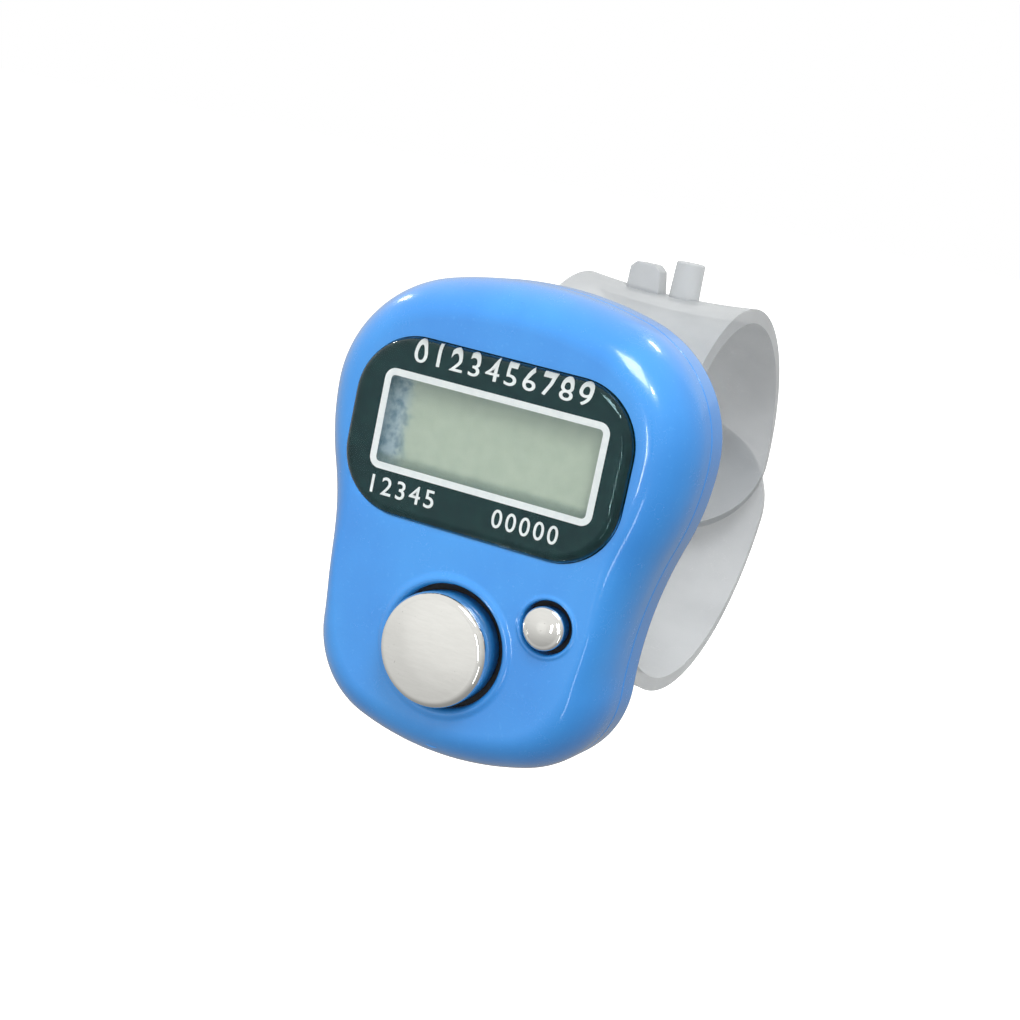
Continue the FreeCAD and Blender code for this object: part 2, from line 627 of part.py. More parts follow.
def chip_blob():
    """Low dome of resin over the chip, on the back of the board."""
    start = size("board_depth") + size("board_thickness")
    radius, height = size("chip_radius"), size("chip_height")
    flat = 0.2 * radius
    foot = Vector(start, radius, 0)
    flank = Vector(start + 0.75 * height, 0.7 * radius, 0)
    top = Vector(start + height, flat, 0)
    turned("chip_blob", "0", "Sizes.chip_rise", [
        Part.LineSegment(Vector(start, 0, 0), foot),
        Part.Arc(foot, flank, top),
        Part.LineSegment(top, Vector(start + height, 0, 0)),
        Part.LineSegment(Vector(start + height, 0, 0), Vector(start, 0, 0)),
    ])


def small_components():
    """Two chip components soldered beside the resin drop."""
    for name, across, tall in (("bypass_capacitor", -6.6, 0.8), ("oscillator_resistor", 6.2, 0.45)):
        slab(name, "Sizes.board_depth + Sizes.board_thickness", f"{tall}",
             lambda sketch: add_rectangle(sketch, f"{across} - Sizes.component_half_length",
                                          f"{across} + Sizes.component_half_length",
                                          "Sizes.chip_rise - Sizes.component_half_width",
                                          "Sizes.chip_rise + Sizes.component_half_width"))


def button_cell():
    """Flat round cell: a wide can with a narrower cap towards the board."""
    front = size("battery_depth")
    back = front + size("battery_height")
    radius = size("battery_radius")
    turned("button_cell", "0", "Sizes.battery_rise", lines(
        (front, 0), (front, radius - 1.1), (front + 0.5, radius - 1.0), (front + 0.5, radius - 0.25),
        (front + 0.75, radius), (back - 0.2, radius), (back, radius - 0.2), (back, 0)))


def battery_contacts():
    """Bent sheet springs: one under the cell's cap, one from the board round to the cell's back."""
    board_back = size("board_depth") + size("board_thickness")
    sheet_metal = size("contact_sheet")
    cell_front = size("battery_depth")
    cell_back = cell_front + size("battery_height")
    cell_low = size("battery_rise") - size("battery_radius")

    def strip(name, half_width, corners):
        body = piece(name)
        sketch = side_sketch(body, "sketch")
        add_polygon(sketch, [Vector(depth, rise, 0) for depth, rise in corners])
        made = pad(body, sketch, str(2 * half_width), backwards=False)
        made.Midplane = True
        doc.recompute()
        place(body)

    # a tab on the board, a slope, and a flat under the cell's cap
    middle = size("battery_rise")
    tab_end, slope_start, flat_half = middle + 4.2, middle + 2.2, 0.8
    bend_play = 0.1
    strip("negative_contact", 1.6, [
        (board_back, tab_end), (board_back, slope_start), (cell_front - sheet_metal, middle + flat_half),
        (cell_front - sheet_metal, middle - flat_half), (cell_front, middle - flat_half),
        (cell_front, middle + flat_half + bend_play), (board_back + sheet_metal, slope_start + bend_play),
        (board_back + sheet_metal, tab_end)])

    # a tab on the board, a riser beside the cell, and a tongue behind it
    outer = cell_low - 0.15 - sheet_metal
    tab_foot, tongue_end = outer - 1.6, cell_low + 4
    strip("positive_contact", 1.9, [
        (board_back, tab_foot), (board_back, outer + sheet_metal), (cell_back, outer + sheet_metal),
        (cell_back, tongue_end), (cell_back + sheet_metal, tongue_end),
        (cell_back + sheet_metal, outer), (board_back + sheet_metal, outer),
        (board_back + sheet_metal, tab_foot)])


# ---------------------------------------------------------------------------------------------
# Buttons
# ---------------------------------------------------------------------------------------------

def button(prefix):
    """Plated cap with a crowned face, a flange behind the cover and a stem on the rubber dome."""
    face, edge, crown = size(f"{prefix}_face"), size(f"{prefix}_edge"), size(f"{prefix}_crown")
    radius = size(f"{prefix}_radius")
    flange = size("flange_depth")
    flange_back = flange + size("flange_thickness")
    flange_radius = size(f"{prefix}_flange_radius")
    stem_end = size("dome_top_depth")
    stem_radius = size(f"{prefix}_stem_radius")

    centre = Vector(face - crown, 0, 0)
    rim = Vector(face, radius - edge, 0)
    half = Vector(face - 0.75 * crown, 0.5 * (radius - edge), 0)
    side = Vector(face + edge, radius, 0)
    shoulder = Vector(face + 0.3 * edge, radius - 0.3 * edge, 0)
    corners = [side, Vector(flange, radius, 0), Vector(flange, flange_radius, 0),
               Vector(flange_back, flange_radius, 0), Vector(flange_back, stem_radius, 0),
               Vector(stem_end, stem_radius, 0), Vector(stem_end, 0, 0), centre]
    straight = [Part.LineSegment(a, b) for a, b in zip(corners, corners[1:])]
    turned(f"{prefix}_button", f"Sizes.{prefix}_across", f"Sizes.{prefix}_rise",
           [Part.Arc(centre, half, rim), Part.Arc(rim, shoulder, side)] + straight)


def rubber_dome(prefix):
    """Conical rubber spring on the board, closed at the top where the button's stem sits."""
    wall = size("rubber_wall")
    base_radius, top_radius = size(f"{prefix}_dome_base"), size(f"{prefix}_dome_top")
    top, foot = size("dome_top_depth"), size("board_depth")
    turned(f"{prefix}_dome", f"Sizes.{prefix}_across", f"Sizes.{prefix}_rise", lines(
        (top, 0), (top, top_radius), (foot - wall, base_radius - 0.9), (foot - wall, base_radius),
        (foot, base_radius), (foot, base_radius - 1.3), (top + wall, top_radius - 0.35), (top + wall, 0)))


def pill(prefix):
    """Conductive disc under the dome's top, which stops just short of the pads at full travel."""
    radius = size(f"{prefix}_pill_radius")
    start = size("dome_top_depth") + size("rubber_wall")
    end = size("board_depth") - 2 * size("pad_thickness") - size(f"{prefix}_travel")
    turned(f"{prefix}_pill", f"Sizes.{prefix}_across", f"Sizes.{prefix}_rise", lines(
        (start, 0), (start, radius), (end, radius), (end, 0)))


# ---------------------------------------------------------------------------------------------
# Strap
# ---------------------------------------------------------------------------------------------

def strap_base():
    """Foot of the strap: a flat block on the back cover, held by two staked pegs."""
    def draw(sketch):
        edges = rounded_rectangle_edges(size("strap_half_width"), size("foot_bottom"), size("foot_top"),
                                        size("foot_corner"))
        add_edges(sketch, edges)
    body = slab("strap_base", "Sizes.back_depth", "Sizes.foot_thickness", draw)
    shanks = front_sketch(body, "shanks", "Sizes.back_depth")
    heads = front_sketch(body, "heads", "Sizes.back_depth - Sizes.back_wall")
    for side in ("-", ""):
        add_circle(shanks, "Sizes.peg_radius", f"{side}Sizes.peg_across", "Sizes.peg_rise")
        add_circle(heads, "Sizes.peg_head_radius", f"{side}Sizes.peg_across", "Sizes.peg_rise")
    pad(body, shanks, "Sizes.back_wall", backwards=False)
    pad(body, heads, "Sizes.peg_head_height", backwards=False)


def strap_arm(name, path, tip_rise, tip_side):
    """Curved band of one thickness with a half-round tip, which points down or up by the side given."""
    body = piece(name)
    profile = side_sketch(body, "profile")
    add_edges(profile, path)
    band = pad(body, profile, "2 * Sizes.strap_half_width", backwards=False)
    band.Midplane = True
    doc.recompute()
    cut = front_sketch(body, "tip", "Sizes.case_setback", rise=tip_rise)
    half = size("strap_half_width")
    far = 1.4 * half
    end = tip_side * far
    add_edges(cut, [
        Part.Arc(Vector(-half, 0, 0), Vector(0, tip_side * half, 0), Vector(half, 0, 0)),
        Part.LineSegment(Vector(half, 0, 0), Vector(far, 0, 0)),
        Part.LineSegment(Vector(far, 0, 0), Vector(far, end, 0)),
        Part.LineSegment(Vector(far, end, 0), Vector(-far, end, 0)),
        Part.LineSegment(Vector(-far, end, 0), Vector(-far, 0, 0)),
        Part.LineSegment(Vector(-far, 0, 0), Vector(-half, 0, 0)),
    ])
    pocket(body, cut, "2 * Sizes.lower_radius")
    place(body)
    return body


def root_point(rise):
    """Centre of an arm's round root, just clear of the foot."""
    depth = size("back_depth") + size("foot_thickness") + size("root_gap") + size("strap_wall") / 2
    return Vector(depth, size(rise), 0)


def strap_upper_arm():
    """Straight up from the foot, then round over the finger and down behind it, inside the lower arm."""
    wall = size("strap_wall")
    outer = size("upper_radius")
    inner = outer - wall
    middle = outer - wall / 2
    centre = Vector(size("case_setback"), -size("case_rise"), 0)
    root = root_point("upper_root_rise")

    # the straight run touches the middle circle of the band
    reach = root - centre
    lift = math.acos(middle / reach.Length)
    start_turn = math.atan2(reach.y, reach.x) - lift
    end_turn = math.radians(-42)
    normal = Vector(math.cos(start_turn), math.sin(start_turn), 0)

    def on_circle(radius, turn):
        return centre + Vector(math.cos(turn), math.sin(turn), 0) * radius

    half_turn = (start_turn + end_turn) / 2
    outer_root, inner_root = root + normal * (wall / 2), root - normal * (wall / 2)
    along_band = (on_circle(middle, start_turn) - root).normalize()
    back_of_root = root - along_band * (wall / 2)
    path = [
        Part.LineSegment(outer_root, on_circle(outer, start_turn)),
        Part.Arc(on_circle(outer, start_turn), on_circle(outer, half_turn), on_circle(outer, end_turn)),
        Part.LineSegment(on_circle(outer, end_turn), on_circle(inner, end_turn)),
        Part.Arc(on_circle(inner, end_turn), on_circle(inner, half_turn), on_circle(inner, start_turn)),
        Part.LineSegment(on_circle(inner, start_turn), inner_root),
        Part.Arc(inner_root, back_of_root, outer_root),
    ]
    body = strap_arm("strap_upper_arm", path, "Sizes.upper_tip_rise", -1)

    # two short pegs on the crest: a tapered one with cut corners, and a straight one beside it
    crest = outer - size("case_rise")
    foot = crest - 0.5 * wall
    lugs = front_sketch(body, "lugs", "Sizes.lug_depth")
    left, top = size("tapered_lug_across"), crest + size("tapered_lug_height")
    add_polygon(lugs, [
        Vector(left - 1.7, foot, 0), Vector(left + 1.9, foot, 0), Vector(left + 1.5, top - 0.7, 0),
        Vector(left + 0.9, top, 0), Vector(left - 1.4, top, 0), Vector(left - 1.95, top - 0.6, 0)])
    right, top = size("straight_lug_across"), crest + size("straight_lug_height")
    add_polygon(lugs, [
        Vector(right - 1.55, foot, 0), Vector(right + 1.55, foot, 0), Vector(right + 1.45, top - 0.5, 0),
        Vector(right + 1.05, top, 0), Vector(right - 1.25, top, 0), Vector(right - 1.7, top - 0.4, 0)])
    pad(body, lugs, "Sizes.lug_thickness")


def strap_lower_arm():
    """One long arc from the foot under the finger and up behind it, outside the upper arm."""
    wall = size("strap_wall")
    outer = size("lower_radius")
    inner = outer - wall
    centre = Vector(size("lower_axis_depth"), -size("lower_axis_drop"), 0)
    root = root_point("lower_root_rise")
    middle = outer - wall / 2

    # the root is put on the middle circle of the band, at the height of its hinge
    root_turn = math.pi + math.asin((centre.y - root.y) / middle)
    end_turn = 2 * math.pi + math.radians(15)
    half_turn = (root_turn + end_turn) / 2

    def on_circle(radius, turn):
        return centre + Vector(math.cos(turn), math.sin(turn), 0) * radius

    root_middle = on_circle(middle, root_turn)
    back_of_root = root_middle + Vector(math.sin(root_turn), -math.cos(root_turn), 0) * (wall / 2)
    path = [
        Part.Arc(on_circle(outer, root_turn), on_circle(outer, half_turn), on_circle(outer, end_turn)),
        Part.LineSegment(on_circle(outer, end_turn), on_circle(inner, end_turn)),
        Part.Arc(on_circle(inner, end_turn), on_circle(inner, half_turn), on_circle(inner, root_turn)),
        Part.Arc(on_circle(inner, root_turn), back_of_root, on_circle(outer, root_turn)),
    ]
    strap_arm("strap_lower_arm", path, "Sizes.lower_tip_rise", 1)


front_cover()
back_cover()
case_screws()
display_lens()
window_mask()
display_cell()
lcd_holder()
lcd_connector()
circuit_board()
board_screws()
contact_pads()
chip_blob()
small_components()
button_cell()
battery_contacts()
for prefix in ("count", "reset"):
    button(prefix)
    rubber_dome(prefix)
    pill(prefix)
strap_base()
strap_upper_arm()
strap_lower_arm()

# ---------------------------------------------------------------------------------------------
# Check and write
# ---------------------------------------------------------------------------------------------

doc.recompute()
for made in doc.Objects:
    if {"Invalid", "Error"} & set(made.State):
        raise RuntimeError(f"{made.Name} failed: {made.State}")
for made in PIECES:
    if made.Shape.isNull() or not made.Shape.isValid():
        raise RuntimeError(f"{made.Label} has no valid shape")

os.makedirs("parts", exist_ok=True)
for made in PIECES:
    made.Shape.exportStep(f"parts/{made.Label}.step")
    box = made.Shape.BoundBox
    print(f"{made.Label:22s} solids {len(made.Shape.Solids)} volume {made.Shape.Volume:9.2f}  "
          f"x {box.XMin:7.2f} {box.XMax:7.2f}  y {box.YMin:7.2f} {box.YMax:7.2f}  "
          f"z {box.ZMin:7.2f} {box.ZMax:7.2f}")
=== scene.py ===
"""Looks of the finger-worn row counter, built round its fixed frame.

Pieces are drawn in the case's own millimetres: X across the display, Y the depth behind the display's
face, Z the height above its middle. One matrix carries a finished drawing into the row frame.
"""

import math

import bmesh
import bpy
from mathutils import Matrix, Vector
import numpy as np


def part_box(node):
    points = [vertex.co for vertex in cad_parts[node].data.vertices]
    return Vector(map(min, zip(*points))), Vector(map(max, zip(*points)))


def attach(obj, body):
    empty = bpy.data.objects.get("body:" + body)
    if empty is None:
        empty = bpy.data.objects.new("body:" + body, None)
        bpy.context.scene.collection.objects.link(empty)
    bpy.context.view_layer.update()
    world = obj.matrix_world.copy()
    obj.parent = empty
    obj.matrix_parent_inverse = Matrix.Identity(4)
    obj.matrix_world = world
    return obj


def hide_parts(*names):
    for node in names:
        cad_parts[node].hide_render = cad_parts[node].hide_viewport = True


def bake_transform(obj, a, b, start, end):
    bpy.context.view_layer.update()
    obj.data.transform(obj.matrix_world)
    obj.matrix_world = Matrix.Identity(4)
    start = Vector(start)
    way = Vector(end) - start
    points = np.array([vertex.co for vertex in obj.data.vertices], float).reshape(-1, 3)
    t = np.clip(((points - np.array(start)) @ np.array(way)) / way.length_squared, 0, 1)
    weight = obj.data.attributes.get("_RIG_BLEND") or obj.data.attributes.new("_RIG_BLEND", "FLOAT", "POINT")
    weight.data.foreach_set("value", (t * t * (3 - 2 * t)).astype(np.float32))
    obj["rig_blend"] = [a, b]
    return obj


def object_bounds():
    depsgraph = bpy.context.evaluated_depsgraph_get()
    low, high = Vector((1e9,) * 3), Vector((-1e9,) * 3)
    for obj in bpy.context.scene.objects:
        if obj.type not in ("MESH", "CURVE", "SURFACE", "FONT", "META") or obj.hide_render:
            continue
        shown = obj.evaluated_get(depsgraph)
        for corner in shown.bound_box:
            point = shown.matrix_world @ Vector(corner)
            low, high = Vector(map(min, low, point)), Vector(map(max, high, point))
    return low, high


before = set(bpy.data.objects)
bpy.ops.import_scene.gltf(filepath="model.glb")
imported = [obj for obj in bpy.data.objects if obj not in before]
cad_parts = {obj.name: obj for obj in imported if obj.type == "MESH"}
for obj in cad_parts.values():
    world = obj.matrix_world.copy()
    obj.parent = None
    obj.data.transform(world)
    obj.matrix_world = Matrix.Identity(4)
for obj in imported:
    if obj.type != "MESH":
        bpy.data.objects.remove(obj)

cad_low, cad_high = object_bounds()
scene = bpy.context.scene

# ----------------------------------------------------------
# View: from the right of the display and a little above it, tipped so that the case leans left.
# ----------------------------------------------------------

eye_position = (0.06795, -0.18811, 0.02714)
eye_azimuth = math.radians(23.07)
eye_elevation = math.radians(10.20)
eye_roll = math.radians(11.79)

camera_data = bpy.data.cameras.new("view_camera")
camera_data.sensor_width = 36.0
camera_data.lens = 70.59
camera_data.clip_start = 0.01
camera_data.clip_end = 20.0
camera = bpy.data.objects.new("view_camera", camera_data)
scene.collection.objects.link(camera)
facing = Matrix.Rotation(eye_azimuth, 4, "Z") @ Matrix.Rotation(math.pi / 2 - eye_elevation, 4, "X")
camera.matrix_world = Matrix.Translation(eye_position) @ facing @ Matrix.Rotation(eye_roll, 4, "Z")
scene.camera = camera

# ----------------------------------------------------------
# Studio: a pale floor well below the counter, a warm grey room for the plated buttons to mirror,
# soft boxes for the broad sheen, small lamps for the sharp glints and one dark card for contrast.
# ----------------------------------------------------------

scene.view_settings.view_transform = "Standard"

world = bpy.data.worlds.new("pale_room")
world.use_nodes = True
wiring = world.node_tree
room_air = wiring.nodes["Background"]
room_air.inputs["Color"].default_value = (0.94, 0.94, 0.925, 1)
backdrop = wiring.nodes.new("ShaderNodeBackground")
backdrop.inputs["Color"].default_value = (1, 1, 1, 1)
backdrop.inputs["Strength"].default_value = 1.0
sight = wiring.nodes.new("ShaderNodeLightPath")
either = wiring.nodes.new("ShaderNodeMixShader")
wiring.links.new(sight.outputs["Is Camera Ray"], either.inputs["Fac"])
wiring.links.new(room_air.outputs["Background"], either.inputs[1])
wiring.links.new(backdrop.outputs["Background"], either.inputs[2])
wiring.links.new(either.outputs["Shader"], wiring.nodes["World Output"].inputs["Surface"])
scene.world = world


def room_light(course, dim, full, dark, bright):
    """Room light that grows from dark to bright as its direction turns towards a course."""
    bearing = wiring.nodes.new("ShaderNodeTexCoord")
    share = wiring.nodes.new("ShaderNodeVectorMath")
    share.operation = "DOT_PRODUCT"
    share.inputs[1].default_value = Vector(course).normalized()
    wiring.links.new(bearing.outputs["Generated"], share.inputs[0])
    made = wiring.nodes.new("ShaderNodeMapRange")
    made.interpolation_type = "SMOOTHSTEP"
    for socket, amount in zip(("From Min", "From Max", "To Min", "To Max"), (dim, full, dark, bright)):
        made.inputs[socket].default_value = amount
    wiring.links.new(share.outputs["Value"], made.inputs["Value"])
    return made.outputs["Result"]


both = wiring.nodes.new("ShaderNodeMath")
wiring.links.new(room_light((-0.25, -0.45, 0.85), -0.9, 0.85, 0.38, 1.12), both.inputs[0])
wiring.links.new(room_light((-0.30, -0.93, -0.12), 0.93, 0.995, 0.0, 0.14), both.inputs[1])
wiring.links.new(both.outputs["Value"], room_air.inputs["Strength"])

floor_drop = 0.040
floor_draft = bmesh.new()
bmesh.ops.create_circle(floor_draft, cap_ends=True, segments=64, radius=6.0,
                        matrix=Matrix.Translation((0, 0, cad_low.z - floor_drop)))
floor_mesh = bpy.data.meshes.new("floor")
floor_draft.to_mesh(floor_mesh)
floor_draft.free()
floor = bpy.data.objects.new("floor", floor_mesh)
scene.collection.objects.link(floor)
floor_paint = bpy.data.materials.new("floor_paint")
floor_paint.use_nodes = True
floor_shader = floor_paint.node_tree.nodes["Principled BSDF"]
floor_shader.inputs["Base Color"].default_value = (0.95, 0.95, 0.95, 1)
floor_shader.inputs["Roughness"].default_value = 0.9
floor_shader.inputs["Specular IOR Level"].default_value = 0.0
floor_shader.inputs["Emission Color"].default_value = (1, 1, 1, 1)
floor_shader.inputs["Emission Strength"].default_value = 0.55
floor_mesh.materials.append(floor_paint)
floor.visible_diffuse = False
floor.visible_glossy = False
floor.visible_transmission = False


def facing_counter(name, data, place):
    """Hangs a lamp or a card at a place, turned towards the counter."""
    made = bpy.data.objects.new(name, data)
    scene.collection.objects.link(made)
    course = (cad_low + cad_high) / 2 - Vector(place)
    turned_to = course.to_track_quat("-Z", "Y").to_matrix().to_4x4()
    made.matrix_world = Matrix.Translation(place) @ turned_to
    made.visible_transmission = False
    return made


def lamp(name, place, wide, high, watts, sheen_only=True):
    """A rectangular lamp. Most only draw a highlight on gloss."""
    data = bpy.data.lights.new(name, "AREA")
    data.shape = "RECTANGLE"
    data.size = wide
    data.size_y = high
    data.energy = watts
    facing_counter(name, data, place).visible_diffuse = not sheen_only


lamp("key_box", (0.18, -0.32, 0.48), 0.24, 0.24, 2.0, sheen_only=False)
lamp("back_box", (0.10, 0.50, 0.30), 0.40, 0.40, 0.1, sheen_only=False)
lamp("right_strip", (0.10, -0.52, -0.03), 0.025, 0.16, 0.30)
lamp("rear_glint", (0.10, 0.35, 0.45), 0.08, 0.04, 0.20)
lamp("shoulder_glint", (0.31, -0.24, 0.35), 0.03, 0.05, 0.30)
lamp("crown_glint", (-0.41, 0.15, 0.25), 0.03, 0.03, 0.20)
lamp("low_strip", (0.31, -0.37, -0.24), 0.04, 0.20, 0.16)

card_wide, card_high = 0.02, 0.18
card_draft = bmesh.new()
bmesh.ops.create_grid(card_draft, x_segments=1, y_segments=1, size=0.5,
                      matrix=Matrix.Diagonal((card_wide, card_high, 1, 1)))
card_mesh = bpy.data.meshes.new("side_card")
card_draft.to_mesh(card_mesh)
card_draft.free()
card_paint = bpy.data.materials.new("card_paint")
card_paint.use_nodes = True
card_paint.node_tree.nodes["Principled BSDF"].inputs["Base Color"].default_value = (0.02, 0.02, 0.02, 1)
card_mesh.materials.append(card_paint)
side_card = facing_counter("side_card", card_mesh, (0.24, -0.46, 0.06))
side_card.visible_camera = False
side_card.visible_diffuse = False
side_card.visible_shadow = False

# ----------------------------------------------------------
# Front shell: glossy blue ABS, injection moulded in one piece. Its face is flat round the window,
# soft lips stand round the two button holes, and a wide rounding falls to the parting line.
# ----------------------------------------------------------

lens_top_height = 7.5
lens_low, lens_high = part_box("display_lens")
face_middle = Vector((0, lens_low.y, lens_high.z - lens_top_height / 1000))
case_to_row = Matrix.Translation(face_middle) @ Matrix.Scale(0.001, 4)

parting = 8.3
wall = 1.3
front_face = 1.1
inner_face = front_face + wall
outline_grain = 0.5


def arc(across, height, radius, start, end):
    """A stretch of outline: its centre, its radius and the bearings it runs between, in degrees."""
    return across, height, radius, math.radians(start), math.radians(end)


def bearing_to(first, second):
    """Bearing from one centre to another, clockwise from straight up."""
    return math.degrees(math.atan2(second[0] - first[0], second[1] - first[1]))


def case_arcs(inset=0.0):
    """The case outline as tangent arcs, clockwise from the top, drawn inside itself by an inset."""
    top, low = 13.8, -28.6
    side_height, half_width, side_radius, shoulder_radius = 1.9, 17.1, 23.0, 11.1
    waist_height, waist_half, corner_radius, bottom_radius = -17.5, 13.9, 8.5, 26.0

    shoulder = (half_width - shoulder_radius, side_height)
    gap = top - side_height - shoulder_radius
    crown_radius = shoulder_radius + (shoulder[0] ** 2 + gap ** 2) / (2 * gap)
    crown = (0, top - crown_radius)
    side = (half_width - side_radius, side_height)
    reach, drop = waist_half - side[0], side_height - waist_height
    waist_radius = (reach ** 2 + drop ** 2 - side_radius ** 2) / (2 * (side_radius - reach))
    waist = (waist_half + waist_radius, waist_height)
    bottom = (0, bottom_radius + low)
    to_waist, to_bottom = waist_radius + corner_radius, bottom_radius - corner_radius
    course = Vector(waist) - Vector(bottom)
    along = (course.length ** 2 + to_bottom ** 2 - to_waist ** 2) / (2 * course.length)
    aside = math.sqrt(to_bottom ** 2 - along ** 2)
    course.normalize()
    corner = Vector(bottom) + course * along + Vector((course.y, -course.x)) * aside

    turns = [0, bearing_to(crown, shoulder), 90, bearing_to(side, waist),
             bearing_to(corner, waist), bearing_to(bottom, corner), 180]
    radii = [crown_radius - inset, shoulder_radius - inset, side_radius - inset,
             -(waist_radius + inset), corner_radius - inset, bottom_radius - inset]
    centres = [crown, shoulder, side, waist, tuple(corner), bottom]
    right = [arc(*centre, radius, a, b) for centre, radius, a, b in zip(centres, radii, turns, turns[1:])]
    left = [arc(-x, z, radius, 360 - math.degrees(b), 360 - math.degrees(a)) for x, z, radius, a, b in right]
    return right + left[::-1]


def rounded_rectangle(half_width, bottom, top, corner):
    """A rectangle with round corners, clockwise from the top right one."""
    right, low, high = half_width - corner, bottom + corner, top - corner
    return [arc(right, high, corner, 0, 90), arc(right, low, corner, 90, 180),
            arc(-right, low, corner, 180, 270), arc(-right, high, corner, 270, 360)]


def circle(across, height, radius):
    return [arc(across, height, radius, 0, 360)]


def narrowing(height):
    """How much of its width the rounding keeps: less at the waist, where the flat holds the reset button."""
    most_lost, middle, spread = 0.42, -14.5, 5.5
    return 1 - most_lost * math.exp(-((height - middle) / spread) ** 2)


def ring(draft, arcs, depth, grain=outline_grain):
    """A closed ring of edges along arcs. Each vertex keeps the bearing in which the outline faces, and the
    share of its width that a rounding has there."""
    faces = draft.verts.layers.float.get("bearing") or draft.verts.layers.float.new("bearing")
    share = draft.verts.layers.float.get("share") or draft.verts.layers.float.new("share")
    known = set(draft.edges)
    first = last = None
    for across, height, radius, start, end in arcs:
        begin = Vector((across + radius * math.sin(start), depth, height + radius * math.cos(start)))
        if last is None:
            first = last = draft.verts.new(begin)
            last[faces] = start
        elif (last.co - begin).length > 1e-4:
            last = bmesh.ops.extrude_vert_indiv(draft, verts=[last])["verts"][0]
            last.co = begin
            last[faces] = start
        steps = max(4, round(abs(radius * (end - start)) / grain))
        count = len(draft.verts)
        bmesh.ops.spin(draft, geom=[last], cent=(across, depth, height), axis=(0, 1, 0),
                       angle=end - start, steps=steps)
        draft.verts.ensure_lookup_table()
        fresh = draft.verts[count:]
        for number, vertex in enumerate(fresh, start=1):
            vertex[faces] = start + (end - start) * number / steps
        last = fresh[-1]
    if (last.co - first.co).length < 1e-3:
        bmesh.ops.weld_verts(draft, targetmap={last: first})
    else:
        draft.edges.new((last, first))
    made = [edge for edge in draft.edges if edge not in known]
    for vertex in {vertex for edge in made for vertex in edge.verts}:
        vertex[share] = narrowing(vertex.co.z)
    return made


def carry(draft, edges, inward, depth, narrowed=False):
    """Extrudes a ring to another depth, drawn inward by a distance along its own bearings."""
    faces, share = draft.verts.layers.float["bearing"], draft.verts.layers.float["share"]
    made = bmesh.ops.extrude_edge_only(draft, edges=edges)["geom"]
    for vertex in (part for part in made if isinstance(part, bmesh.types.BMVert)):
        step = inward * (vertex[share] if narrowed else 1)
        vertex.co.x -= step * math.sin(vertex[faces])
        vertex.co.z -= step * math.cos(vertex[faces])
        vertex.co.y = depth
    return [part for part in made if isinstance(part, bmesh.types.BMEdge)]


def follow(draft, edges, profile, narrowed=False):
    """Carries a ring through (inset, depth) stops, the insets measured from where the ring began."""
    inset = 0.0
    for stop, depth in profile:
        edges = carry(draft, edges, stop - inset, depth, narrowed)
        inset = stop
    return edges


def rounding(inset_from, inset_to, depth_from, depth_to, steps=8, level_first=False):
    """Stops of a quarter ellipse that starts along the depth, or across it when level comes first."""
    stops = []
    for number in range(1, steps + 1):
        turn = math.pi / 2 * number / steps
        rise, run = math.sin(turn), 1 - math.cos(turn)
        across, along = (rise, run) if level_first else (run, rise)
        stops.append((inset_from + (inset_to - inset_from) * across,
                      depth_from + (depth_to - depth_from) * along))
    return stops


def close(draft, *rings):
    """A flat face bounded by the first ring, with the others as its holes."""
    bmesh.ops.triangle_fill(draft, use_beauty=True, use_dissolve=False,
                            edges=[edge for edges in rings for edge in edges])


def turned(draft, across, height, profile):
    """A round solid on an axis along the depth, from (radius, depth) stops, closed at both ends."""
    sides = 72
    radius, depth = profile[0]
    start = ring(draft, circle(across, height, radius), depth, grain=2 * math.pi * radius / sides)
    end = follow(draft, start, [(radius - stop, where) for stop, where in profile[1:]])
    close(draft, start)
    close(draft, end)


def tube(draft, across, height, outer, bore, depth_from, depth_to):
    """A round boss with a blind bore from its end."""
    bored_share = 0.8
    bore_end = depth_to + (depth_from - depth_to) * bored_share
    turned(draft, across, height, [(outer, depth_from), (outer, depth_to), (bore, depth_to),
                                   (bore, bore_end)])


def shaped(name, draft, crease=35.0, weld=0.0005):
    """Puts a drawing into the row frame as an object at the origin, smooth but for its true edges."""
    bmesh.ops.remove_doubles(draft, verts=draft.verts, dist=weld)
    bmesh.ops.recalc_face_normals(draft, faces=draft.faces)
    bmesh.ops.transform(draft, matrix=case_to_row, verts=draft.verts)
    mesh = bpy.data.meshes.new(name)
    draft.to_mesh(mesh)
    draft.free()
    mesh.shade_smooth()
    mesh.set_sharp_from_angle(angle=math.radians(crease))
    made = bpy.data.objects.new(name, mesh)
    scene.collection.objects.link(made)
    return made


class Signal:
    """A shader socket that takes part in ordinary arithmetic."""

    def __init__(self, finish, socket):
        self.finish = finish
        self.socket = socket

    def maths(self, operation, first, second):
        return self.finish.node("Math", {"operation": operation}, {0: first, 1: second})

    def __add__(self, other):
        return self.maths("ADD", self, other)

    def __radd__(self, other):
        return self.maths("ADD", other, self)

    def __sub__(self, other):
        return self.maths("SUBTRACT", self, other)

    def __rsub__(self, other):
        return self.maths("SUBTRACT", other, self)

    def __mul__(self, other):
        return self.maths("MULTIPLY", self, other)

    def __rmul__(self, other):
        return self.maths("MULTIPLY", other, self)

    def __abs__(self):
        return self.maths("ABSOLUTE", self, 0.0)

    def over(self, limit, softness):
        """0 below a limit and 1 above it, with a soft step."""
        return self.finish.node("MapRange", {"interpolation_type": "SMOOTHSTEP"},
                                {0: self, 1: limit - softness, 2: limit + softness})


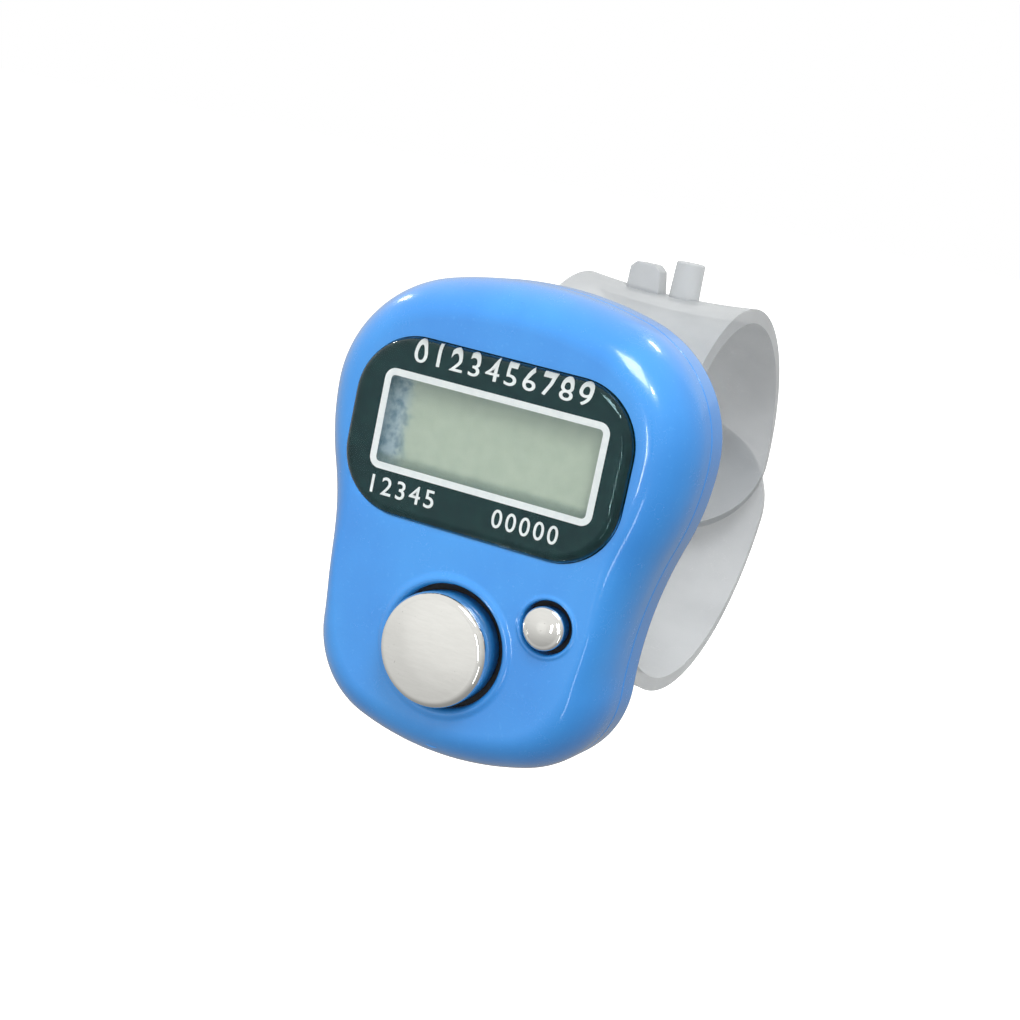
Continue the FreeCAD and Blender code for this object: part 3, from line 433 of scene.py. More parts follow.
class Finish:
    """A material being mixed. node() adds any shader node; lay() sets the surface shader's sockets."""

    def __init__(self, name):
        self.material = bpy.data.materials.new(name)
        self.material.use_nodes = True
        self.tree = self.material.node_tree
        self.surface = self.tree.nodes["Principled BSDF"]

    def feed(self, socket, amount):
        if isinstance(amount, Signal):
            self.tree.links.new(amount.socket, socket)
        else:
            socket.default_value = amount

    def node(self, kind, settings=None, amounts=None, output=0):
        made = self.tree.nodes.new(f"ShaderNode{kind}")
        for name, setting in (settings or {}).items():
            setattr(made, name, setting)
        for name, amount in (amounts or {}).items():
            self.feed(made.inputs[name], amount)
        return Signal(self, made.outputs[output])

    def place(self, centre=(0, 0, 0), scale=(1, 1, 1)):
        """Object coordinates in case millimetres, about a centre and stretched by a scale."""
        where = self.node("TexCoord", output="Object")
        moved = self.node("VectorMath", {"operation": "SUBTRACT"}, {0: where, 1: tuple(face_middle)})
        sized = self.node("VectorMath", {"operation": "MULTIPLY"}, {0: moved, 1: (1000, 1000, 1000)})
        centred = self.node("VectorMath", {"operation": "SUBTRACT"}, {0: sized, 1: centre})
        return self.node("VectorMath", {"operation": "MULTIPLY"}, {0: centred, 1: scale})

    def axis(self, where, letter):
        return self.node("SeparateXYZ", amounts={0: where}, output=letter)

    def noise(self, where, scale, detail=2.0, roughness=0.5):
        return self.node("TexNoise", amounts={"Vector": where, "Scale": scale, "Detail": detail,
                                              "Roughness": roughness})

    def mix(self, share, first, second):
        """A colour between two colours."""
        made = self.tree.nodes.new("ShaderNodeMix")
        made.data_type = "RGBA"
        self.feed(made.inputs[0], share)
        self.feed(made.inputs[6], first)
        self.feed(made.inputs[7], second)
        return Signal(self, made.outputs[2])

    def scratches(self, where, scale, width):
        """Thin wandering lines: 1 on a line and 0 off it."""
        wander = self.noise(where, scale * 0.5, 1.0)
        lines = self.noise(where, scale, 3.0, 0.6)
        return (1 - abs(lines - 0.5).over(width, width)) * wander.over(0.6, 0.06)

    def bump(self, height, distance, strength=1.0):
        return self.node("Bump", amounts={"Height": height, "Distance": distance, "Strength": strength})

    def lay(self, **amounts):
        for name, amount in amounts.items():
            self.feed(self.surface.inputs[name.replace("_", " ")], amount)
        return self.material


def blue_plastic():
    """Bright moulded blue: faint flow marks in the colour, a hard gloss, hairlines and soft sink marks."""
    finish = Finish("blue_plastic")
    where = finish.place()
    flow = finish.noise(finish.place(scale=(1.0, 1.0, 0.45)), 0.16, 3.0)
    fleck = finish.noise(where, 3.2, 2.0)
    hairline = finish.scratches(where, 0.7, 0.004)
    blue = finish.mix(flow.over(0.5, 0.25), (0.026, 0.255, 0.74, 1), (0.036, 0.300, 0.80, 1))
    blue = finish.mix(fleck.over(0.68, 0.06) * 0.25, blue, (0.07, 0.37, 0.86, 1))
    haze = finish.noise(where, 0.5, 3.0)
    sink = finish.noise(where, 0.22, 1.0)
    peel = finish.noise(where, 2.6, 1.0)
    relief = sink * 0.9 + peel * 0.06 - hairline * 0.02
    return finish.lay(Base_Color=blue, Roughness=0.16 + haze * 0.12 + hairline * 0.2, IOR=1.52,
                      Specular_IOR_Level=0.5, Coat_Weight=0.6, Coat_Roughness=0.03,
                      Normal=finish.bump(relief, 0.00022, 0.55))


flat_inset = 3.7
seat_depth = 1.6
seat_gap = 0.08
edge_chamfer = 0.14
hold = 0.12
lip_shape = ((0, 0), (0.14, 0.14), (0.30, 0.60), (0.42, 0.90), (0.55, 1))
lens_half_width, lens_bottom, lens_corner = 13.0, -8.05, 5.6
window_half_width, window_half_height = 10.3, 4.1
count_across, count_height = -0.25, -17.86
reset_across, reset_height = 8.6, -13.6
screw_heights = (10.6, -25.5)
post_places = ((-10.6, -10.8), (9.3, -20.4))
board_front = 6.4

draft = bmesh.new()
rim = ring(draft, case_arcs(), parting - edge_chamfer)
face_ring = follow(draft, rim, [(0, parting - 1.0)]
                   + rounding(0, flat_inset, parting - 1.2, front_face, 20)
                   + [(flat_inset + hold, front_face)], narrowed=True)

lips = []
for across, height, hole, lip, swell in ((count_across, count_height, 5.4, 1.1, 0.26),
                                         (reset_across, reset_height, 2.3, 0.55, 0.14)):
    foot = ring(draft, circle(across, height, hole + lip + hold), front_face, 0.35)
    climb = [(hold + along * lip, front_face - up * swell) for along, up in lip_shape]
    crest_inset, crest_depth = climb[-1]
    fall = rounding(crest_inset, hold + lip, crest_depth, front_face + 0.55 * lip, 8, level_first=True)
    lips.append((foot, follow(draft, foot, climb + fall + [(hold + lip, inner_face)])))

seat = ring(draft, rounded_rectangle(lens_half_width + seat_gap, lens_bottom - seat_gap,
                                     lens_top_height + seat_gap, lens_corner + seat_gap), front_face)
close(draft, face_ring, seat, lips[0][0], lips[1][0])
seat_floor = follow(draft, seat, [(0, seat_depth)])
window = ring(draft, rounded_rectangle(window_half_width + 0.6, -window_half_height - 0.6,
                                       window_half_height + 0.6, 0.6), seat_depth)
close(draft, seat_floor, window)
window_back = follow(draft, window, [(0, inner_face)])

rim_end = follow(draft, rim, [(edge_chamfer, parting), (wall, parting)])
inner_ring = follow(draft, rim_end, [(0, parting - 1.6)]
                    + rounding(0, 1.7, parting - 1.8, inner_face, 10))
close(draft, inner_ring, window_back, lips[0][1], lips[1][1])
for height in screw_heights:
    tube(draft, 0, height, outer=1.65, bore=0.8, depth_from=inner_face - 0.2, depth_to=parting)
for across, height in post_places:
    tube(draft, across, height, outer=1.5, bore=0.65, depth_from=inner_face - 0.2, depth_to=board_front)

case_finish = blue_plastic()
front_shell = shaped("front_shell", draft)
front_shell.data.materials.append(case_finish)
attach(front_shell, "case")
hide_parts("front_cover")

# ----------------------------------------------------------
# Rear shell: a shallow tray of the same blue ABS. A lip inside its rim finds the front shell, two
# counterbored holes take the case screws, and a ring rib holds the cell.
# ----------------------------------------------------------

back_face = 12.0
back_wall = 1.1
floor_depth = back_face - back_wall
peg_across, peg_height = 6.6, -8.6
sink_radius, sink_chamfer, sink_floor = 1.7, 0.05, back_face - 1.05
shank_step = 0.75
boss_end = parting + 0.1

draft = bmesh.new()
rim = ring(draft, case_arcs(), parting + edge_chamfer)
back_ring = follow(draft, rim, [(0, back_face - 1.2)] + rounding(0, 1.0, back_face - 1.1, back_face, 8)
                   + [(1.0 + hold, back_face)])
holes = []
for height in screw_heights:
    sink = ring(draft, circle(0, height, sink_radius), back_face, 0.2)
    holes.append((sink, follow(draft, sink, [(sink_chamfer, back_face - sink_chamfer),
                                             (sink_chamfer, sink_floor), (shank_step, sink_floor),
                                             (shank_step, boss_end), (0, boss_end)])))
pegs = []
for across in (-peg_across, peg_across):
    hole = ring(draft, circle(across, peg_height, 1.2), back_face, 0.2)
    pegs.append((hole, follow(draft, hole, [(0, floor_depth)])))
close(draft, back_ring, holes[0][0], holes[1][0], pegs[0][0], pegs[1][0])

inner_rim = follow(draft, rim, [(edge_chamfer, parting), (wall, parting)])
inner_floor = follow(draft, inner_rim, [(0, floor_depth)])
boss_feet = [follow(draft, inner, [(0, floor_depth)]) for outer, inner in holes]
close(draft, inner_floor, boss_feet[0], boss_feet[1], pegs[0][1], pegs[1][1])

lip_inset, lip_wall, lip_chamfer = wall + 0.1, 0.6, 0.15
lip_root, lip_top = parting + 0.8, parting - 0.9
lip_outside = ring(draft, case_arcs(lip_inset), lip_root)
lip_end = follow(draft, lip_outside, [(0, lip_top + lip_chamfer), (lip_chamfer, lip_top), (lip_wall, lip_top),
                                      (lip_wall, lip_root)])
bmesh.ops.bridge_loops(draft, edges=lip_outside + lip_end)
cell_middle, cell_thickness = -1.5, 3.05
rib_radius, rib_wall = 6.65, 0.7
rib_root, rib_top = floor_depth + 0.1, floor_depth - cell_thickness
rib_outside = ring(draft, circle(0, cell_middle, rib_radius), rib_root)
rib_end = follow(draft, rib_outside, [(0, rib_top), (rib_wall, rib_top), (rib_wall, rib_root)])
bmesh.ops.bridge_loops(draft, edges=rib_outside + rib_end)

rear_shell = shaped("rear_shell", draft)
rear_shell.data.materials.append(case_finish)
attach(rear_shell, "case")
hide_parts("back_cover")

# ----------------------------------------------------------
# Window: a clear acrylic moulding pressed into the seat, its front edge rounded over. The black
# border and the white marks are printed on its back, so they are seen through its thickness, and a
# black band round its side keeps out the blue of the shell.
# ----------------------------------------------------------


def clear_acrylic():
    """Water-clear with a trace of green, polished, with a few fine rub marks."""
    finish = Finish("clear_acrylic")
    where = finish.place()
    rubs = finish.scratches(where, 0.9, 0.003)
    haze = finish.noise(where, 0.4, 2.0)
    return finish.lay(Base_Color=(0.97, 0.99, 0.985, 1), Roughness=0.015 + haze * 0.02 + rubs * 0.1, IOR=1.49,
                      Transmission_Weight=1.0, Specular_IOR_Level=0.2, Specular_Tint=(0.6, 0.95, 1.0, 1),
                      Normal=finish.bump(haze - rubs * 0.2, 0.00001, 0.2))


print_depth = 1.45
lens_back = 1.5
lens_rounding = 0.95

draft = bmesh.new()
edge = ring(draft, rounded_rectangle(lens_half_width, lens_bottom, lens_top_height, lens_corner), lens_back)
front = follow(draft, edge, [(0, lens_rounding + 0.05)] + rounding(0, lens_rounding, lens_rounding, 0.0, 10)
               + [(lens_rounding + hold, 0.0)])
close(draft, edge)
close(draft, front)
window_lens = shaped("window_lens", draft)
window_lens.data.materials.append(clear_acrylic())
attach(window_lens, "case")
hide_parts("display_lens")
# Clear as it is, it doesn't shade the print and the display under it.
window_lens.visible_shadow = False


def border_ink():
    """Black-green screen ink, a little thin in places."""
    finish = Finish("border_ink")
    where = finish.place()
    mottle = finish.noise(where, 1.1, 4.0, 0.6)
    ink = finish.mix(mottle.over(0.52, 0.2), (0.002, 0.013, 0.015, 1), (0.005, 0.024, 0.024, 1))
    return finish.lay(Base_Color=ink, Roughness=0.55 + mottle * 0.2, Specular_IOR_Level=0.0,
                      Normal=finish.bump(mottle, 0.00001))


def white_ink():
    """White screen ink with a slightly uneven lay-down."""
    finish = Finish("white_ink")
    where = finish.place()
    mottle = finish.noise(where, 2.4, 3.0, 0.6)
    ink = finish.mix(mottle.over(0.5, 0.2), (0.82, 0.87, 0.88, 1), (0.88, 0.92, 0.92, 1))
    return finish.lay(Base_Color=ink, Roughness=0.5 + mottle * 0.15, Specular_IOR_Level=0.3,
                      Normal=finish.bump(mottle, 0.00001))


def dress(node, material):
    """Gives a node of the frame its finish."""
    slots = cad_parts[node].data.materials
    slots.clear()
    slots.append(material)


dark_ink = border_ink()
dress("window_mask", dark_ink)

band_gap, band_wall = 0.06, 0.04
band_front, band_back = 1.02, lens_back + 0.03

draft = bmesh.new()
outside = ring(draft, rounded_rectangle(lens_half_width + band_gap, lens_bottom - band_gap,
                                        lens_top_height + band_gap, lens_corner + band_gap), band_back)
inside = follow(draft, outside, [(0, band_front), (band_wall, band_front), (band_wall, band_back)])
bmesh.ops.bridge_loops(draft, edges=outside + inside)
edge_ink = shaped("edge_ink", draft)
edge_ink.data.materials.append(dark_ink)
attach(edge_ink, "case")

line_width = 0.6
frame_half_width, frame_half_height, frame_corner = 10.62, 4.4, 1.0
ink_front, ink_back = print_depth - 0.05, print_depth - 0.005
white_print = white_ink()

draft = bmesh.new()
outside = ring(draft, rounded_rectangle(frame_half_width, -frame_half_height, frame_half_height,
                                        frame_corner), ink_back, grain=0.15)
inside = follow(draft, outside, [(0, ink_front), (line_width, ink_front), (line_width, ink_back)])
bmesh.ops.bridge_loops(draft, edges=outside + inside)
printed_frame = shaped("printed_frame", draft)
printed_frame.data.materials.append(white_print)
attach(printed_frame, "case")

mark_back = ink_front + 0.02
marks = (("range_digits", "0123456789", -8.3, 5.35, 16.7, 1.55),
         ("counting_digits", "12345", -10.0, -6.6, 6.2, 1.6),
         ("zero_digits", "00000", 1.8, -6.6, 6.2, 1.6))
for name, digits, left, low, wide, tall in marks:
    lettering = bpy.data.curves.new(name, "FONT")
    lettering.body = digits
    lettering.size = 1.0
    lettering.offset = 0.008
    lettering.extrude = 0.01
    lettering.space_character = 1.25
    words = bpy.data.objects.new(name, lettering)
    scene.collection.objects.link(words)
    bpy.context.view_layer.update()
    flat = bpy.data.meshes.new_from_object(words.evaluated_get(bpy.context.evaluated_depsgraph_get()))
    bpy.data.objects.remove(words)
    bpy.data.curves.remove(lettering)
    draft = bmesh.new()
    draft.from_mesh(flat)
    bpy.data.meshes.remove(flat)
    spans = [(min(v.co[k] for v in draft.verts), max(v.co[k] for v in draft.verts)) for k in range(3)]
    bmesh.ops.translate(draft, vec=[-span[0] for span in spans], verts=draft.verts)
    bmesh.ops.scale(draft, vec=(wide / (spans[0][1] - spans[0][0]), tall / (spans[1][1] - spans[1][0]), 1),
                    verts=draft.verts)
    upright = Matrix.Translation((left, mark_back, low)) @ Matrix.Rotation(math.pi / 2, 4, "X")
    bmesh.ops.transform(draft, matrix=upright, verts=draft.verts)
    mark = shaped(name, draft, weld=0.00002)
    mark.data.materials.append(white_print)
    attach(mark, "case")

# ----------------------------------------------------------
# Display: a liquid crystal cell of two glasses between two grey-green films, blank when off. It
# sits in a black holder and meets the board through a striped rubber connector.
# ----------------------------------------------------------


def display_film():
    """Grey-green film: bluish bare glass at its left end, and a painted shadow along its lower edge."""
    finish = Finish("display_film")
    where = finish.place()
    across, height = finish.axis(where, "X"), finish.axis(where, "Z")
    cloud = finish.noise(where, 0.8, 3.0, 0.6)
    fine = finish.noise(where, 6.0, 2.0)
    green = finish.mix(cloud.over(0.5, 0.3), (0.315, 0.375, 0.29, 1), (0.365, 0.425, 0.335, 1))
    green = finish.mix(fine.over(0.6, 0.1) * 0.15, green, (0.285, 0.345, 0.255, 1))
    left = 1 - (across + cloud * 1.6).over(-7.6, 0.75)
    bare = finish.mix(cloud.over(0.48, 0.14), (0.08, 0.15, 0.20, 1), (0.27, 0.35, 0.40, 1))
    # Painted shadow: the film darkens along its bottom edge, as if shaded by the edge of the window above it.
    lower = 1 - (height + cloud * 0.3).over(-3.05, 0.35)
    colour = finish.mix(left, green, bare)
    colour = finish.mix(lower * 0.65, colour, (0.13, 0.17, 0.13, 1))
    return finish.lay(Base_Color=colour, Roughness=0.35 + fine * 0.1, Coat_Weight=0.3, Coat_Roughness=0.1,
                      Normal=finish.bump(fine, 0.00001))


def cell_glass():
    """Thin float glass with a pale green edge."""
    finish = Finish("cell_glass")
    where = finish.place()
    ripple = finish.noise(where, 0.6, 2.0)
    tint = finish.mix(ripple.over(0.5, 0.3), (0.60, 0.68, 0.60, 1), (0.68, 0.75, 0.68, 1))
    return finish.lay(Base_Color=tint, Roughness=0.06 + ripple * 0.05, Transmission_Weight=0.3, IOR=1.5,
                      Normal=finish.bump(ripple, 0.00001))


def black_moulding_and_gap_shade():
    """Matt black nylon with the grain of a sparked mould. On the button caps it is painted shade in their gap."""
    finish = Finish("black_moulding_and_gap_shade")
    where = finish.place()
    grain = finish.noise(where, 5.0, 3.0, 0.7)
    black = finish.mix(grain.over(0.5, 0.2), (0.012, 0.012, 0.013, 1), (0.028, 0.028, 0.030, 1))
    return finish.lay(Base_Color=black, Roughness=0.5 + grain * 0.2, Normal=finish.bump(grain, 0.00003))


def striped_rubber():
    """Silicone strip with fine black conducting layers across its length."""
    finish = Finish("striped_rubber")
    where = finish.place(scale=(14.0, 1.0, 1.0))
    layers = finish.node("Math", {"operation": "SINE"}, {0: finish.axis(where, "X")})
    grain = finish.noise(finish.place(), 4.0, 2.0)
    colour = finish.mix(layers.over(0.0, 0.3), (0.55, 0.30, 0.34, 1), (0.03, 0.03, 0.03, 1))
    return finish.lay(Base_Color=colour, Roughness=0.55 + grain * 0.2, Normal=finish.bump(layers, 0.00001))


film, glass = display_film(), cell_glass()
for node in ("front_polariser", "rear_polariser"):
    dress(node, film)
for node in ("lcd_front_glass", "lcd_rear_glass"):
    dress(node, glass)
# The same black serves the real display holder and the painted shade in the gaps round the button caps.
black_and_gap_shade = black_moulding_and_gap_shade()
dress("lcd_holder", black_and_gap_shade)
dress("lcd_connector", striped_rubber())

# ----------------------------------------------------------
# Board and cell: a lacquered board with a resin drop over its chip, two chip components, printed
# carbon pads, and a nickel-plated button cell between two bent spring contacts.
# ----------------------------------------------------------


def board_lacquer():
    """Green solder lacquer over copper tracks, which show as lighter raised lines."""
    finish = Finish("board_lacquer")
    where = finish.place()
    across, height = finish.axis(where, "X"), finish.axis(where, "Z")
    wander = finish.noise(where, 0.25, 0.0)
    lanes = finish.node("Math", {"operation": "SINE"}, {0: across * 2.6 + wander * 16 + height * 0.35})
    tracks = lanes.over(0.72, 0.06)
    weave = finish.noise(finish.place(scale=(1, 1, 4)), 2.5, 2.0)
    green = finish.mix(weave.over(0.5, 0.2), (0.010, 0.085, 0.035, 1), (0.016, 0.115, 0.048, 1))
    green = finish.mix(tracks, green, (0.040, 0.23, 0.085, 1))
    return finish.lay(Base_Color=green, Roughness=0.28 + weave * 0.12, Coat_Weight=0.4,
                      Normal=finish.bump(tracks * 0.8 + weave * 0.15, 0.00003))


def carbon_print():
    """Printed carbon: matt, close-grained."""
    finish = Finish("carbon_print")
    grain = finish.noise(finish.place(), 7.0, 3.0, 0.7)
    black = finish.mix(grain.over(0.5, 0.15), (0.015, 0.015, 0.015, 1), (0.045, 0.045, 0.045, 1))
    return finish.lay(Base_Color=black, Roughness=0.6 + grain * 0.25, Normal=finish.bump(grain, 0.00001))


def cured_resin():
    """Black resin drop, glossy with a slightly rippled skin."""
    finish = Finish("cured_resin")
    ripple = finish.noise(finish.place(), 1.1, 3.0)
    black = finish.mix(ripple.over(0.5, 0.2), (0.008, 0.008, 0.009, 1), (0.020, 0.020, 0.021, 1))
    return finish.lay(Base_Color=black, Roughness=0.18 + ripple * 0.2, Normal=finish.bump(ripple, 0.00008))


def fired_ceramic():
    """Tan ceramic body with tinned ends."""
    finish = Finish("fired_ceramic")
    where = finish.place()
    speck = finish.noise(where, 9.0, 2.0)
    from_middle = abs(finish.axis(where, "X") + 6.6)
    tinned = from_middle.over(0.5, 0.03)
    colour = finish.mix(speck.over(0.5, 0.2), (0.36, 0.24, 0.14, 1), (0.50, 0.36, 0.22, 1))
    colour = finish.mix(tinned, colour, (0.62, 0.62, 0.60, 1))
    return finish.lay(Base_Color=colour, Metallic=tinned, Roughness=0.35 + speck * 0.2,
                      Normal=finish.bump(speck, 0.00001))


def plated_steel(name, tone, centre=(0, 0, 0), round_marks=False):
    """Bright sheet or turned steel with fine drawing marks and small dull stains."""
    finish = Finish(name)
    where = finish.place(centre=centre)
    if round_marks:
        reach = finish.node("VectorMath", {"operation": "LENGTH"}, {0: where}, output="Value")
        marks_along = finish.node("Math", {"operation": "SINE"}, {0: reach * 26.0})
    else:
        marks_along = finish.noise(finish.place(scale=(14.0, 1.0, 0.7)), 1.2, 2.0)
    stain = finish.noise(where, 0.9, 4.0, 0.6)
    dull = tuple(0.72 * part for part in tone) + (1,)
    colour = finish.mix(stain.over(0.62, 0.1) * 0.6, tone + (1,), dull)
    return finish.lay(Base_Color=colour, Metallic=1.0, Roughness=0.22 + stain * 0.12 + marks_along * 0.04,
                      Normal=finish.bump(marks_along, 0.000006))


dress("circuit_board", board_lacquer())
carbon = carbon_print()
for node in ("contact_pads", "count_pill", "reset_pill"):
    dress(node, carbon)
resin = cured_resin()
dress("chip_blob", resin)
dress("oscillator_resistor", resin)
dress("bypass_capacitor", fired_ceramic())
dress("button_cell", plated_steel("nickel_can", (0.72, 0.71, 0.68), (0, 9.0, -1.5), True))
contact_metal = plated_steel("spring_sheet", (0.76, 0.74, 0.68))
dress("negative_contact", contact_metal)
dress("positive_contact", contact_metal)
screw_metal = plated_steel("zinc_screw", (0.60, 0.61, 0.63))
dress("case_screws", screw_metal)
dress("board_screws", screw_metal)

# ----------------------------------------------------------
# Buttons: moulded caps, plated bright where they show, with a crowned face, a rounded edge, a flange
# that keeps them behind the shell and a stem on a silicone dome. Below the face they are black: painted
# shade for the dark gap round them.
# ----------------------------------------------------------


def bright_plating():
    """Nickel-bright plating over plastic: warm, a little wavy, with faint wipe marks."""
    finish = Finish("bright_plating")
    where = finish.place()
    swell = finish.noise(where, 0.32, 1.0)
    wipe = finish.noise(finish.place(scale=(1, 1, 5)), 0.8, 3.0, 0.6)
    pits = finish.noise(where, 3.5, 2.0).over(0.74, 0.03)
    tone = finish.mix(wipe.over(0.5, 0.25), (0.72, 0.715, 0.69, 1), (0.75, 0.745, 0.72, 1))
    tone = finish.mix(pits * 0.4, tone, (0.45, 0.44, 0.42, 1))
    return finish.lay(Base_Color=tone, Metallic=1.0, Roughness=0.03 + wipe * 0.03 + pits * 0.1,
                      Normal=finish.bump(swell - pits * 0.02, 0.00010, 0.5))


def silicone():
    """Cloudy silicone rubber with a dusty skin."""
    finish = Finish("silicone")
    dust = finish.noise(finish.place(), 3.0, 3.0, 0.6)
    colour = finish.mix(dust.over(0.5, 0.2), (0.62, 0.62, 0.58, 1), (0.72, 0.72, 0.68, 1))
    return finish.lay(Base_Color=colour, Roughness=0.5 + dust * 0.2, Subsurface_Weight=0.3,
                      Subsurface_Radius=(0.002, 0.002, 0.002), Normal=finish.bump(dust, 0.00002))


plating = bright_plating()
rubber = silicone()
flange_front, flange_back, stem_end = 2.45, 3.15, 4.7
# Depth from which the caps turn black, as painted shade for the gap between cap and hole.
gap_shade_from = 2.2
crown_rings = 12
for key, across, height, radius, face, crown, soft, flange, stem in (
        ("count", count_across, count_height, 5.0, -1.5, 0.3, 0.7, 5.9, 2.0),
        ("reset", reset_across, reset_height, 1.9, 0.2, 0.35, 0.4, 2.7, 0.9)):
    flat = radius - soft
    shares = [1 - k / crown_rings for k in range(1, crown_rings)]
    crowned = [(flat * share, face - crown * (1 - share ** 2)) for share in shares]
    corner = [(radius - inset, depth) for inset, depth in rounding(0, soft, face + soft, face, 7)]
    draft = bmesh.new()
    turned(draft, across, height, [(stem, stem_end), (stem, flange_back), (flange, flange_back),
                                   (flange, flange_front), (radius, flange_front), (radius, face + soft)]
           + corner + crowned)
    cap = shaped(f"{key}_cap", draft, crease=50.0)
    cap.data.materials.append(plating)
    cap.data.materials.append(black_and_gap_shade)
    # Faces behind the plated face take the black finish: painted shade for the dark gap between cap and hole.
    for facet in cap.data.polygons:
        facet.material_index = int(facet.center.y > face_middle.y + gap_shade_from / 1000)
    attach(cap, f"{key}_key")
    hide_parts(f"{key}_button")
    dress(f"{key}_dome", rubber)

# ----------------------------------------------------------
# Ring strap: one frosted soft-plastic moulding, staked to the rear shell by its foot. The upper arm
# goes over the finger and ends inside the lower arm, so that the ring opens and springs shut.
# ----------------------------------------------------------


def frosted_plastic():
    """Milky translucent plastic with a fine matt skin, cloudier in patches."""
    finish = Finish("frosted_plastic")
    where = finish.place()
    cloud = finish.noise(where, 0.13, 3.0, 0.5)
    grain = finish.noise(where, 4.5, 3.0, 0.6)
    rub = finish.scratches(where, 0.6, 0.006)
    tone = finish.mix(cloud.over(0.5, 0.25), (0.50, 0.52, 0.54, 1), (0.60, 0.625, 0.64, 1))
    tone = finish.mix(rub * 0.5, tone, (0.70, 0.71, 0.72, 1))
    return finish.lay(Base_Color=tone, Roughness=0.38 + grain * 0.16, IOR=1.46, Subsurface_Weight=0.35,
                      Subsurface_Radius=(0.003, 0.003, 0.003), Transmission_Weight=0.25, Alpha=0.70,
                      Normal=finish.bump(grain, 0.00002, 0.6))


strap_half_width = 9.0
strap_wall = 1.4
rim_flare = 0.55
finger_depth = -case_to_row.translation.y * 1000
finger_height = -case_to_row.translation.z * 1000
root_depth = 15.82
foot_seam = -5.7
row_grain = 0.8
across_cuts = 39
tip_rows = 28
saddle_growth = 9.0
strap_finish = frosted_plastic()


def band(start, legs, tip_height, tip_reach):
    """A curved sheet whose middle line runs through legs, each a centre and a turn, or a straight move and
    None. The last leg's circle carries on into a half-round tip."""
    draft = bmesh.new()
    width = draft.verts.layers.float.new("width")
    row = [draft.edges.new([draft.verts.new((side * strap_half_width, *start)) for side in (-1, 1)])]
    bmesh.ops.subdivide_edges(draft, edges=row, cuts=across_cuts)
    row = list(draft.edges)
    for vertex in draft.verts:
        vertex[width] = vertex.co.x
    for course, turn in legs:
        if turn is None:
            steps = max(1, round(Vector(course).length / row_grain))
            for _ in range(steps):
                made = bmesh.ops.extrude_edge_only(draft, edges=row)["geom"]
                row = [part for part in made if isinstance(part, bmesh.types.BMEdge)]
                moved = [part for part in made if isinstance(part, bmesh.types.BMVert)]
                bmesh.ops.translate(draft, vec=(0, course[0] / steps, course[1] / steps), verts=moved)
        else:
            reach = (row[0].verts[0].co.yz - Vector(course)).length
            steps = max(1, round(abs(turn) * reach / row_grain))
            made = bmesh.ops.spin(draft, geom=row, cent=(0, *course), axis=(1, 0, 0), angle=turn, steps=steps)
            row = [part for part in made["geom_last"] if isinstance(part, bmesh.types.BMEdge)]

    centre, turn = legs[-1]
    onward = math.copysign(1, turn)
    reach = (row[0].verts[0].co.yz - Vector(centre)).length
    bend = math.asin((row[0].verts[0].co.z - centre[1]) / reach)
    for number in range(1, tip_rows + 1):
        share = math.pi / 2 * number / tip_rows
        target = math.asin((tip_height + onward * tip_reach * math.sin(share) - centre[1]) / reach)
        made = bmesh.ops.spin(draft, geom=row, cent=(0, *centre), axis=(1, 0, 0),
                              angle=target - bend, steps=1)
        row = [part for part in made["geom_last"] if isinstance(part, bmesh.types.BMEdge)]
        for vertex in {vertex for edge in row for vertex in edge.verts}:
            vertex.co.x = vertex[width] * math.cos(share)
        bend = target
    bmesh.ops.remove_doubles(draft, verts=draft.verts, dist=0.01)
    return draft


def saddle(draft, centre, from_height, towards):
    """Sinks the middle of a band, so that its rims stand proud, growing from nothing at its root."""
    for vertex in draft.verts:
        outward = vertex.co.yz - Vector(centre)
        far = outward.x > 0
        climb = 1.0 if far else max(0.0, min(1.0, towards * (vertex.co.z - from_height) / saddle_growth))
        sink = rim_flare * (1 - (vertex.co.x / strap_half_width) ** 2) * climb * climb * (3 - 2 * climb)
        outward.normalize()
        vertex.co.y -= outward.x * sink
        vertex.co.z -= outward.y * sink


def walled(name, draft):
    """Gives a sheet its wall and soft edges, and settles both into its mesh."""
    made = shaped(name, draft)
    thicken = made.modifiers.new("wall", "SOLIDIFY")
    thicken.thickness = strap_wall / 1000
    thicken.offset = 0.0
    soften = made.modifiers.new("soft_edge", "BEVEL")
    soften.width = 0.0004
    soften.segments = 4
    soften.limit_method = "ANGLE"
    soften.angle_limit = math.radians(50)
    bpy.context.view_layer.update()
    settled = bpy.data.meshes.new_from_object(made.evaluated_get(bpy.context.evaluated_depsgraph_get()))
    made.modifiers.clear()
    cleaned = bmesh.new()
    cleaned.from_mesh(settled)
    bmesh.ops.dissolve_degenerate(cleaned, edges=cleaned.edges, dist=1e-5)
    cleaned.to_mesh(settled)
    cleaned.free()
    made.data = settled
    settled.name = name
    settled.shade_smooth()
    settled.set_sharp_from_angle(angle=math.radians(60))
    return made


def in_row(depth, height):
    """A point of the strap's middle plane, in the row frame."""
    return case_to_row @ Vector((0, depth, height))


upper_reach = 16.3 - strap_wall / 2
upper_centre = (finger_depth, finger_height)
upper_root_height = -1.6
to_root = Vector((root_depth, upper_root_height)) - Vector(upper_centre)
lean = math.acos(upper_reach / to_root.length)
root_turn = math.atan2(to_root.y, to_root.x) - lean
backwards = math.pi - root_turn
upper_heel_radius = 5.0
eased = upper_heel_radius * math.tan(backwards / 2)
straight = upper_reach * math.tan(lean) - eased
upper_heel = (root_depth + upper_heel_radius, upper_root_height - eased)
upper_tip_height = -2.4
crest_bend = math.asin((upper_tip_height - finger_height) / upper_reach)

